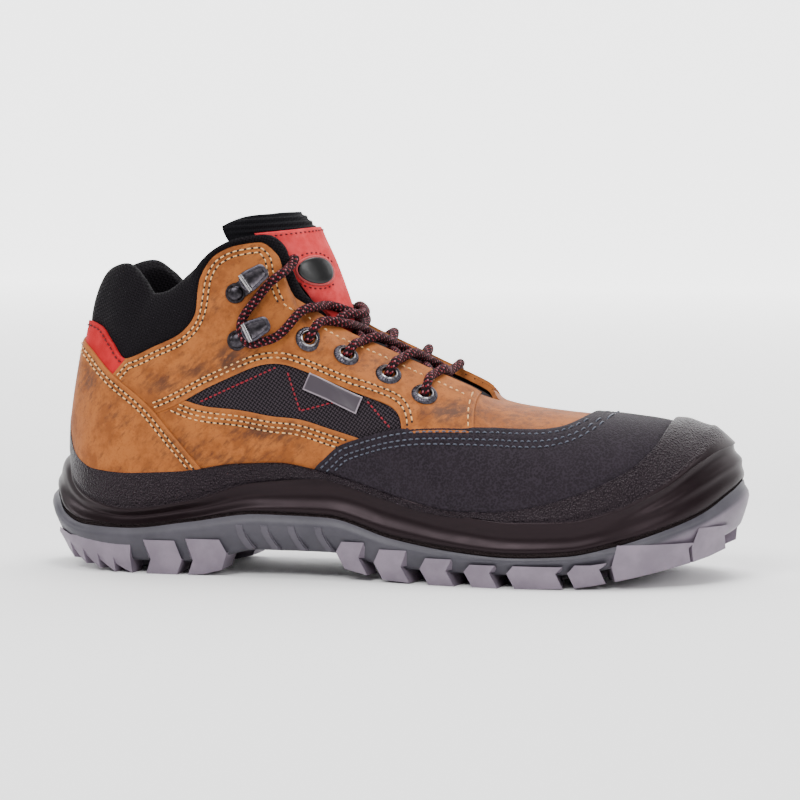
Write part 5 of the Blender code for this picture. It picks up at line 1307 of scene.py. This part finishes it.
def sewn(seams, sides=("lateral", "medial")):
    """Stitches of several seams on the upper, outside what covers them, and the dark pads of painted
    needle-hole shade between them.
    """
    stitches, holes = [], []
    for seam in seams:
        places = dashes(seam.line, seam.pitch, seam.long)
        shown = np.ones(len(places), bool)
        for cover in seam.covers:
            shown &= depth_in(cover, places.reshape(-1, 2)).reshape(-1, STITCH_POINTS).max(axis=1) < 0
        for side in sides:
            t, s = spot(places[..., 0], places[..., 1], side)
            missed = np.linalg.norm(side_view(last(t, s)).reshape(*t.shape, 2) - places, axis=-1).max(axis=1)
            kept = shown & (missed < 0.4)
            if kept.any():
                t, s = t[kept], s[kept]
                stitches.append(threads(shell(t, s, seam.out + STITCH_LIFT), outward_of(t, s)))
                ends = shell(t, s, seam.out - SEAM_DEEP)
                way, normal = ends[:, -1] - ends[:, -2], outward_of(t[:, -1], s[:, -1])
                ahead = unit(way) * (seam.pitch - seam.long) / 2 * MM
                holes.append(needle_holes(ends[:, -1] + ahead, way, normal))
    return joined(stitches), joined(holes)


def thread_finish(name, colour, dark):
    """Waxed twisted thread, darker in its twists."""
    made, tree, shader = finish(name, roughness=0.6, specular_ior_level=0.3)
    grain = noise(tree, 2600.0, 2.0)
    tree.links.new(mixed(tree, band_of(tree, grain, 0.35, 0.6), dark, colour), shader.inputs["Base Color"])
    raised(tree, shader, grain, 0.15 * MM, 0.6)
    return made


cream_thread = thread_finish("cream_thread", (0.78, 0.50, 0.23), (0.46, 0.23, 0.075))
grey_thread = thread_finish("blue_grey_thread", (0.095, 0.105, 0.14), (0.03, 0.034, 0.046))
dark_red_thread = thread_finish("dark_red_thread", (0.10, 0.004, 0.006), (0.03, 0.002, 0.003))
red_thread = thread_finish("red_thread", (0.34, 0.010, 0.026), (0.14, 0.005, 0.012))
# painted shade: the dark brown of the pads that stand for the shade inside the needle holes
hole_shade_brown, tree, shader = finish("needle_hole", base_color=(0.010, 0.004, 0.002), roughness=0.9)
WINDOW_LINES = [[(-76, 74.2), (-41, 90)], [(-37, 88.5), (-31, 71.5), (-5, 78.5)], [(-2, 77), (9, 65.5)]]
tan_rows = [Seam(line, COUNTER_OUT + COUNTER_THICK, *TAN_DASH, (sole_cover,)) for line in counter_seams]
tan_rows += [Seam(line, LOWER_OUT + LOWER_THICK, *TAN_DASH, (counter, guard, quarter, sole_cover))
             for line in lower_seams]
tan_rows += [Seam(line, QUARTER_THICK, *TAN_DASH, (counter, tab, guard))
             for line in stay_seams + collar_seams]
tan_rows += [Seam(line, QUARTER_THICK, *TAN_DASH, (guard,)) for line in (front_seam, toe_stay_seam)]
stitches, holes = sewn(tan_rows)
add_piece("cream_stitching", *stitches, [cream_thread], "tan_leather")
add_piece("needle_holes", *holes, [hole_shade_brown], "tan_leather")
stitches, _ = sewn([Seam(line, GUARD_THICK, *GUARD_DASH, (sole_cover,)) for line in guard_seams])
add_piece("mudguard_stitching", *stitches, [grey_thread], "dark_nubuck")
stitches, _ = sewn([Seam(np.array(line, float), 0.05 * MM, *WINDOW_DASH, ()) for line in WINDOW_LINES])
add_piece("window_stitching", *stitches, [red_thread], "black_textile")
stitches, _ = sewn([Seam(line, TAB_THICK, *TAB_DASH, (counter,)) for line in tab_seams])
add_piece("tab_stitching", *stitches, [dark_red_thread], "coral_suede")

# Eyelets. Four pressed gunmetal rings on each eyestay, with a painted highlight of paler gunmetal on the
# inner lip and a serrated outer edge.
EYELETS = [(-29, 101), (-13, 94), (5, 86), (21, 78)]
EYELET_SECTION = [(5.6, -0.5), (5.65, 0.1), (5.3, 0.65), (4.7, 1.0), (4.15, 1.1), (3.9, 0.95), (3.7, 1.25),
                  (3.3, 1.45), (2.95, 1.25), (2.85, 0.7), (2.85, -1.2)]
EYELET_FINISHES = (0, 0, 0, 0, 1, 2, 2, 2, 1, 1)
EYELET_TEETH, EYELET_SIDES, EYELET_NOTCH = 30, 120, 0.24 * MM
ON_PANEL = QUARTER_THICK


def seat(x, z, side, out, tilt=0.0):
    """A point above the upper, and the axes of what sits on it: along a tilted line, across it, and out."""
    t, s = spot(x, z, side)
    normal = outward_of(t, s)
    way = np.array([math.cos(tilt), 0, math.sin(tilt)])
    way = unit(way - normal * (way @ normal))
    return shell(t, s, out), np.stack([way, np.cross(normal, way), normal])


def spun(section, sides, origin, axes, teeth=0):
    """A section of radius and height, in millimetres, turned about the seat's outward axis."""
    angle = np.arange(sides) * 2 * math.pi / sides
    r, h = np.array(section, float).T * MM
    notch = np.zeros((sides, len(section)))
    if teeth:
        notch[:, 1:4] = EYELET_NOTCH * (np.cos(angle * teeth)[:, None] > 0)
    local = np.stack([r * np.cos(angle)[:, None], r * np.sin(angle)[:, None], h - notch], -1)
    faces = [tuple(face) for face in grid_faces(sides, len(section), closed=True)]
    if section[-1][0] > 0.2:
        ends = np.arange(sides) * len(section)
        following = np.roll(ends, -1)
        inner = len(section) - 1
        faces += [tuple(face) for face in np.stack([ends + inner, following + inner, following, ends], -1)]
    else:
        faces.append(tuple(k * len(section) for k in reversed(range(sides))))
        faces.append(tuple(k * len(section) + len(section) - 1 for k in range(sides)))
    return (origin + local.reshape(-1, 3) @ axes), faces


def metal_finish(name, dark, pale, rough):
    """Plated brass, worn a little paler in patches."""
    made, tree, shader = finish(name, metallic=1.0)
    worn = noise(tree, 700.0, 4.0)
    tree.links.new(mixed(tree, band_of(tree, worn, 0.35, 0.7), dark, pale), shader.inputs["Base Color"])
    tree.links.new(maths(tree, "ADD", rough, maths(tree, "MULTIPLY", worn, 0.16)), shader.inputs["Roughness"])
    return made


gunmetal = metal_finish("gunmetal", (0.045, 0.041, 0.052), (0.095, 0.088, 0.106), 0.28)
dark_metal = metal_finish("dark_gunmetal", (0.03, 0.027, 0.032), (0.065, 0.058, 0.066), 0.26)
# painted highlight: a much paler copy of the gunmetal for the eyelets' inner lips and the hooks' bars
bright_metal = metal_finish("highlight_gunmetal", (0.26, 0.25, 0.26), (0.40, 0.38, 0.40), 0.2)
for side in ("lateral", "medial"):
    for number, (x, z) in enumerate(EYELETS, 1):
        points, faces = spun(EYELET_SECTION, EYELET_SIDES, *seat(x, z, side, ON_PANEL), EYELET_TEETH)
        finish_of = np.concatenate([np.tile(EYELET_FINISHES, EYELET_SIDES), np.ones(EYELET_SIDES)])
        add_piece(f"eyelet_ring_{side}_{number}", points, faces, [gunmetal, dark_metal, bright_metal],
                  "gunmetal", [f"eyelet_{side}_{number}"], finish_of=finish_of, sharp=30)

# Hooks. Two pressed gunmetal speed hooks on each eyestay: a round foot under a domed rivet, a bent neck with
# a bar across it in paler gunmetal as a painted highlight, and a plate with a rounded rim that stands off the
# leather.
HOOKS = [(-57, 101.5, 27), (-58.5, 121.5, 36)]
HOOK_FOOT = [(4.3, -0.3), (4.35, 0.45), (4.1, 0.75), (3.4, 0.8), (3.3, 0.7), (3.15, 1.0), (2.7, 1.5),
             (1.7, 1.85), (0.15, 2.0)]
HOOK_BACK, HOOK_WIRE, HOOK_BAR = -1.4 * MM, 0.72 * MM, 1.15 * MM
HOOK_LOOP = [(5.0, -3.7, 7.6), (5.0, 3.7, 7.6), (6.4, 3.9, 7.8), (9, 3.6, 7.9), (12, 3.1, 7.9),
             (13.9, 2.6, 8.0), (14.7, 1.4, 8.1), (14.8, 0, 8.1), (14.7, -1.4, 8.1), (13.9, -2.6, 8.0),
             (12, -3.1, 7.9), (9, -3.6, 7.9), (6.4, -3.9, 7.8)]
HOOK_PLATE = np.linspace(5.4, 14.3, 12)
HOOK_HIGH, HOOK_DISH, HOOK_THICK = 7.9, 0.7, 0.55
HOOK_NECK = [(-1.5, 0.1), (3.6, 0.1), (4.5, 0.7), (4.7, 3), (4.8, 6.8), (5.6, 8.0)]
HOOK_HALF = (3.6, 3.6, 3.7, 3.8, 3.8, 3.8)


def smooth_path(points, step, closed=False):
    """A smooth line through points in space, with a point for each step."""
    points = np.asarray(points, float)
    if closed:
        points = np.vstack([points[-2:], points, points[:3]])
    knots = lengths(points)
    slopes = even_slopes(knots, points)
    first, final = (knots[2], knots[-3]) if closed else (0, knots[-1])
    at = np.linspace(first, final, max(3, int((final - first) / step)), endpoint=not closed)
    return along(knots, points, slopes, at)


def tube(path, radius, sides, closed=False):
    """Points, faces, and the length and turn at each point, of a round tube along a path."""
    way = unit(np.roll(path, -1, 0) - np.roll(path, 1, 0) if closed else np.gradient(path, axis=0))
    across = np.cross(way[0], (0.3, 0.2, 1.0))
    angle = np.arange(sides) * 2 * math.pi / sides
    rings = []
    for point, along_it in zip(path, way):
        across = unit(across - along_it * (across @ along_it))
        other = np.cross(along_it, across)
        rings.append(point + radius * (np.cos(angle)[:, None] * across + np.sin(angle)[:, None] * other))
    points = np.stack(rings)
    faces = [tuple(face[::-1]) for face in grid_faces(len(path), sides, closed)]
    count = len(path) if closed else len(path) - 1
    for i in range(count):
        a, b = i * sides, (i + 1) % len(path) * sides
        faces.append((a, b, b + sides - 1, a + sides - 1))
    if not closed:
        faces.append(tuple(range(sides)))
        faces.append(tuple((len(path) - 1) * sides + k for k in reversed(range(sides))))
    return points.reshape(-1, 3), faces, np.repeat(lengths(path) / MM, sides), np.tile(angle, len(path))


def hook(x, z, tilt, side):
    """Points and faces of one hook: its foot and rivet, its neck and its rimmed plate."""
    origin, axes = seat(x, z, side, ON_PANEL, math.radians(tilt))
    foot = spun(HOOK_FOOT, 40, origin + axes[0] * HOOK_BACK, axes)
    loop = tube(smooth_path(np.array(HOOK_LOOP) * MM, 0.4 * MM, closed=True), HOOK_WIRE, 10, closed=True)[:2]
    bar = tube(np.array([(5.0, v, 8.0) for v in np.linspace(-4.1, 4.1, 9)]) * MM, HOOK_BAR, 12)[:2]
    line = np.array(HOOK_NECK)
    section = np.vstack([shifted(line, HOOK_THICK), shifted(line, -HOOK_THICK)[::-1]]) * MM
    count = len(section)
    half = np.array(HOOK_HALF + HOOK_HALF[::-1]) * MM
    points = np.array([(u, v * w, h) for v in (-1, 1) for (u, h), w in zip(section, half)])
    faces = [tuple(range(count)), tuple(count + k for k in reversed(range(count)))]
    faces += [((k + 1) % count, k, count + k, count + (k + 1) % count) for k in range(count)]
    neck = bevelled(points, faces, 0.25 * MM)
    across = np.linspace(-1, 1, 9)
    half_loop = np.interp(HOOK_PLATE, [5.4, 6.4, 9, 12, 14.3], [3.7, 3.8, 3.5, 3.0, 2.2])
    rows = zip(HOOK_PLATE, half_loop)
    top = np.array([[(u, v * w, HOOK_HIGH - HOOK_DISH * (1 - v * v)) for v in across] for u, w in rows]) * MM
    plate = np.stack([top, top - (0, 0, 0.5 * MM)]), sheet_faces(*top.shape[:2])
    plate = plate[0].reshape(-1, 3), plate[1]
    others = (neck, plate, loop, bar)
    parts = [foot] + [(origin + part_points @ axes, part_faces) for part_points, part_faces in others]
    finish_of = np.repeat((0, 0, 0, 1, 2), [len(part_faces) for _, part_faces in parts])
    return joined(parts), finish_of


for side in ("lateral", "medial"):
    for number, (x, z, tilt) in enumerate(HOOKS, 1):
        shape, finish_of = hook(x, z, tilt, side)
        add_piece(f"speed_hook_{side}_{number}", *shape, [dark_metal, gunmetal, bright_metal], "gunmetal",
                  [f"hook_{side}_{number}"], finish_of=finish_of, sharp=40)

# Labels. A coral suede label sewn down the tongue, a bare gloss oval on it with a paler suede rim, and a bare
# tag of grey film on the outer side.
PATCH_ROWS, PATCH_NEAR = (4, 5, 5.5, 6, 7, 8, 8.8), (0.68, 0.77, 0.8, 0.82, 0.84, 0.865, 0.88)
PATCH_FAR, PATCH_OUT = 0.42, 2.2 * MM
Oval = namedtuple("Oval", "row share tall wide row_lean share_lean")
BADGE = Oval(6.78, 0.70, 0.5, 0.098, 0.14, -0.037)
LABEL_TOP, LABEL_RING, LABEL_ROLL, ROLL_WIDE = 8.55, 1.35, 0.45 * MM, 0.7
ROW_LONG, SHARE_WIDE, CARRIED = 9, 60, 1e-6
R, F = np.meshgrid(np.linspace(PATCH_ROWS[0], PATCH_ROWS[-1], 120), np.linspace(0, 1, 60), indexing="ij")
patch_wide = np.interp(R, PATCH_ROWS, PATCH_NEAR) - PATCH_FAR
H = PATCH_FAR + patch_wide * F
inside = np.minimum(np.minimum(R - PATCH_ROWS[0], PATCH_ROWS[-1] - R) * ROW_LONG,
                    np.minimum(F, 1 - F) * patch_wide * SHARE_WIDE)
roll = LABEL_ROLL * np.exp(-inside / ROLL_WIDE)
points = np.stack([on_tongue(R, H, PATCH_OUT - roll), on_tongue(R, H, 0.1 * MM)])
add_piece("label_suede", points, sheet_faces(*R.shape), [label_coral], "coral_suede", ["tongue_patch"],
          sharp=60)
f = np.linspace(0, 1, 60)
arc = np.linspace(-1.1, 1.1, 40)
label_lines = [np.column_stack([np.full_like(f, LABEL_TOP), 0.44 + 0.43 * f])]
for way in (1, -1):
    by_row = BADGE.tall * np.cos(arc) + BADGE.row_lean * np.sin(arc)
    by_share = BADGE.wide * np.sin(arc) + BADGE.share_lean * np.cos(arc)
    label_lines.append(np.column_stack([BADGE.row + way * LABEL_RING * by_row,
                                        BADGE.share + way * LABEL_RING * by_share]))
parts = []
for line in label_lines:
    route = on_tongue(line[:, 0], line[:, 1], PATCH_OUT)
    both = dashes(np.column_stack([route / MM, line * CARRIED]), *TAB_DASH)
    line_at = both[..., 3:] / CARRIED
    middle = on_tongue(line_at[..., 0], line_at[..., 1], PATCH_OUT - 0.1 * MM + STITCH_LIFT)
    parts.append(threads(middle, (on_tongue(line_at[..., 0], line_at[..., 1], 1 * MM)
                                  - on_tongue(line_at[..., 0], line_at[..., 1])) / MM))
add_piece("label_stitching", *joined(parts), [dark_red_thread], "coral_suede")

gloss_black, tree, shader = finish("gloss_black", base_color=(0.003, 0.003, 0.0035), roughness=0.36,
                                   coat_weight=0.1)
angle = np.linspace(0, 2 * math.pi, 72, endpoint=False)
DOME = [(1.0, -1.2), (1.0, 0.6), (0.97, 1.0), (0.9, 1.2), (0.7, 1.3), (0.4, 1.35), (0.05, 1.35)]


def oval(share, out):
    """An oval round the badge's centre, at a share of its size."""
    row = BADGE.row + share * (BADGE.tall * np.cos(angle) + BADGE.row_lean * np.sin(angle))
    along_row = BADGE.share + share * (BADGE.wide * np.sin(angle) + BADGE.share_lean * np.cos(angle))
    return on_tongue(row, along_row, PATCH_OUT + out * MM)


points = np.stack([oval(share, out) for share, out in DOME], axis=1)
faces = [tuple(face[::-1]) for face in grid_faces(len(angle), len(DOME), closed=True)]
faces += [tuple(k * len(DOME) for k in range(len(angle))),
          tuple(k * len(DOME) + len(DOME) - 1 for k in reversed(range(len(angle))))]
add_piece("badge_oval", points, faces, [gloss_black], "badge", ["tongue_badge"], sharp=50)
pale_suede, tree, shader = finish("pale_suede", roughness=0.9, sheen_weight=0.3)
grain = noise(tree, 2400.0)
tree.links.new(mixed(tree, grain, (0.36, 0.025, 0.028), (0.50, 0.07, 0.07)), shader.inputs["Base Color"])
raised(tree, shader, grain, 0.25 * MM, 0.6)
add_piece("badge_rim", *tube(oval(1.04, 0.5), 0.5 * MM, 10, closed=True)[:2], [pale_suede], "coral_suede")

TAG_PLACE, TAG_LONG, TAG_WIDE, TAG_TILT, TAG_OUT = (-16.5, 79.2), 26.0, 7.5, math.radians(-22), 1.0 * MM
u, v = np.meshgrid(np.linspace(-0.5, 0.5, 66) * TAG_LONG, np.linspace(-0.5, 0.5, 22) * TAG_WIDE,
                   indexing="ij")
x = TAG_PLACE[0] + u * math.cos(TAG_TILT) - v * math.sin(TAG_TILT)
z = TAG_PLACE[1] + u * math.sin(TAG_TILT) + v * math.cos(TAG_TILT)
t, s = spot(x, z, "lateral")
inside = np.minimum(TAG_LONG / 2 - abs(u), TAG_WIDE / 2 - abs(v))
lift = 0.5 * MM - 0.12 * MM * np.clip((inside - 0.5) / 0.4, 0, 1) - 0.15 * MM * np.exp(-inside / 0.25)
film, tree, shader = finish("grey_film", roughness=0.28, coat_weight=0.3)
border = band_of(tree, field(tree, "edge"), 0.35, 0.75)
tree.links.new(mixed(tree, border, (0.20, 0.16, 0.19), (0.050, 0.040, 0.050)), shader.inputs["Base Color"])
add_piece("tag_film", np.stack([shell(t, s, TAG_OUT + lift), shell(t, s, TAG_OUT)]), sheet_faces(*u.shape),
          [film], "tag", ["side_tag"], {"edge": np.concatenate([inside.ravel(), 0 * inside.ravel()])},
          sharp=50)

# Lace. A round braid of black and dark red yarn with red and pale flecks: a bar across the foot of the
# throat, three crossings, and two ends that lead from the tongue round the lower hooks and in beside it.
LACE, LACE_SIDES, LACE_STEP = 1.95 * MM, 16, 0.6 * MM
OVER_PANEL, OVER_EDGE, OVER_TONGUE = 4.0 * MM, 3.2 * MM, 2.6 * MM
Crossing = namedtuple("Crossing", "leave middle dive")
CROSSINGS = [Crossing(4.2, 3.9, 3.6), Crossing(3.4, 3.1, 2.8), Crossing(2.5, 2.27, 2.05)]
BAR_ROW, CROSS_LIFT = 1.75, 1.4 * MM
EYELET_LIFTS = (-2.5 * MM, 1.5 * MM)
STAY_LIFTS = ((0.3, 4.6 * MM), (0.68, OVER_EDGE), (1.0, OVER_EDGE))
DIVE_SHARE, DIVE_LIFT, UNDER_SHARE, UNDER_ROWS = 0.16, 2.2 * MM, 0.3, 0.15
BRAID_CLIMB, BRAID_STRANDS = 0.8, 8.0
# A loose end: over the tongue by rows, shares and heights, over the eyestay's edge at a row, then from a
# first place to the lower hook, round it and up, by its places seen from the side, then in beside the tongue.
End = namedtuple("End", "rows shares lifts edge first")
ENDS = {"lateral": End((4.3, 4.55, 4.8, 5.0), (0.2, 0.42, 0.63, 0.73), (0.5, 3.8, 4.3, 4.2), 4.88,
                       (-34.8, 111.6)),
        "medial": End((4.2, 4.4, 4.75, 4.8), (0.88, 0.74, 0.5, 0.34), (0.0, 4.6, 7.6, 6.6), 4.55,
                      (-31.5, 109))}
END_PLACES = [(-37.5, 106), (-43, 101.4), (-48.3, 99.8), (-51.4, 99.2), (-53.8, 100.2), (-55.3, 102.4),
              (-56.3, 104.8), (-56.5, 107.6), (-54.5, 112.5), (-50, 119), (-45.5, 125), (-43.2, 127.5)]
END_TUCK = [(-38.5, -25.5, 132.5), (-38, -21.5, 135), (-42.5, -18, 133)]
braid, tree, shader = finish("braided_lace", roughness=0.8, specular_ior_level=0.15)
length_way, turn_way = field(tree, "along"), field(tree, "turn")
climb = maths(tree, "MULTIPLY", length_way, BRAID_CLIMB)
turns = maths(tree, "MULTIPLY", turn_way, BRAID_STRANDS / (2 * math.pi))
one_way, other_way = maths(tree, "ADD", climb, turns), maths(tree, "SUBTRACT", climb, turns)
cell = maths(tree, "MULTIPLY_ADD", maths(tree, "FLOOR", other_way), 2.0)
tree.links.new(maths(tree, "FLOOR", one_way), cell.node.inputs[2])
cell = maths(tree, "FLOORED_MODULO", cell, 5.0)
yarn = mixed(tree, band_of(tree, cell, 1.4, 1.6), (0.003, 0.002, 0.003), (0.028, 0.002, 0.004))
yarn = mixed(tree, band_of(tree, cell, 2.4, 2.6), yarn, (0.15, 0.004, 0.009))
yarn = mixed(tree, band_of(tree, cell, 3.4, 3.6), yarn, (0.30, 0.085, 0.105))
waves = [maths(tree, "ABSOLUTE", maths(tree, "SINE", maths(tree, "MULTIPLY", way, math.pi)))
         for way in (one_way, other_way)]
strands = maths(tree, "MULTIPLY", waves[0], waves[1])
tree.links.new(mixed(tree, band_of(tree, strands, 0.1, 0.5), (0.003, 0.002, 0.003), yarn),
               shader.inputs["Base Color"])
raised(tree, shader, strands, 0.35 * MM, 0.8)


def throat_edge(row, side):
    """t of the eyestay's edge beside a row of the tongue."""
    names = [span.rib for span in TONGUE_LOW] + ["throat_top"]
    place = np.interp(row, range(len(names)), [PLACE[name] for name in names])
    return place if side == "lateral" else 2 - place


def lace_start(number, row, side):
    """Points of a strand up through its eyelet and over the edge of the eyestay at a row of the tongue."""
    t, s = spot(*EYELETS[number], side)
    edge = throat_edge(row, side)
    points = [shell(t, s, lift) for lift in EYELET_LIFTS]
    for part, lift in STAY_LIFTS:
        points.append(shell(t + (edge - t) * part, s + (1 - s) * part, lift))
    return points


def add_lace(name, paths, replaces):
    """One piece of lace along one or more paths."""
    parts = [tube(smooth_path(path, LACE_STEP), LACE, LACE_SIDES) for path in paths]
    fields = {"along": np.concatenate([part[2] for part in parts]),
              "turn": np.concatenate([part[3] for part in parts])}
    return add_piece(name, *joined([part[:2] for part in parts]), [braid], "lace", replaces, fields)


bar = [lace_start(len(EYELETS) - 1, BAR_ROW, side) for side in ("lateral", "medial")]
add_lace("lace_foot", [[*bar[0], on_tongue(BAR_ROW, 0.5, OVER_TONGUE), *bar[1][::-1]]], ["lace_bar"])
for number, row in enumerate(CROSSINGS):
    paths = []
    for side, way, lift in (("lateral", -1, CROSS_LIFT), ("medial", 1, -CROSS_LIFT)):
        over = [on_tongue(row.middle, 0.5, OVER_TONGUE + lift),
                on_tongue(row.dive, 0.5 + way * DIVE_SHARE, DIVE_LIFT),
                on_tongue(row.dive - UNDER_ROWS, 0.5 + way * UNDER_SHARE)]
        paths.append([*lace_start(number, row.leave, side), *over])
    add_lace(f"lace_crossing_{number + 1}", paths, [f"lace_cross_{number + 1}"])
for side in ("lateral", "medial"):
    end = ENDS[side]
    t, s = spot(*np.array([end.first, *END_PLACES]).T, side)
    tuck = np.array(END_TUCK) * MM
    if side == "medial":
        tuck[:, 1] = 2 * MIDDLE - tuck[:, 1]
    start = on_tongue(end.rows, end.shares, np.array(end.lifts) * MM)
    edge = shell(throat_edge(end.edge, side), 1.0, OVER_EDGE)
    path = smooth_path(np.vstack([start, edge[None], shell(t, s, OVER_PANEL), tuck]), LACE_STEP)
    points, faces, along_it, turn = tube(path, LACE, LACE_SIDES)
    loose = add_piece("lace_loose_" + side, points, faces, [braid], "lace", ["lace_end_" + side],
                      {"along": along_it, "turn": turn})
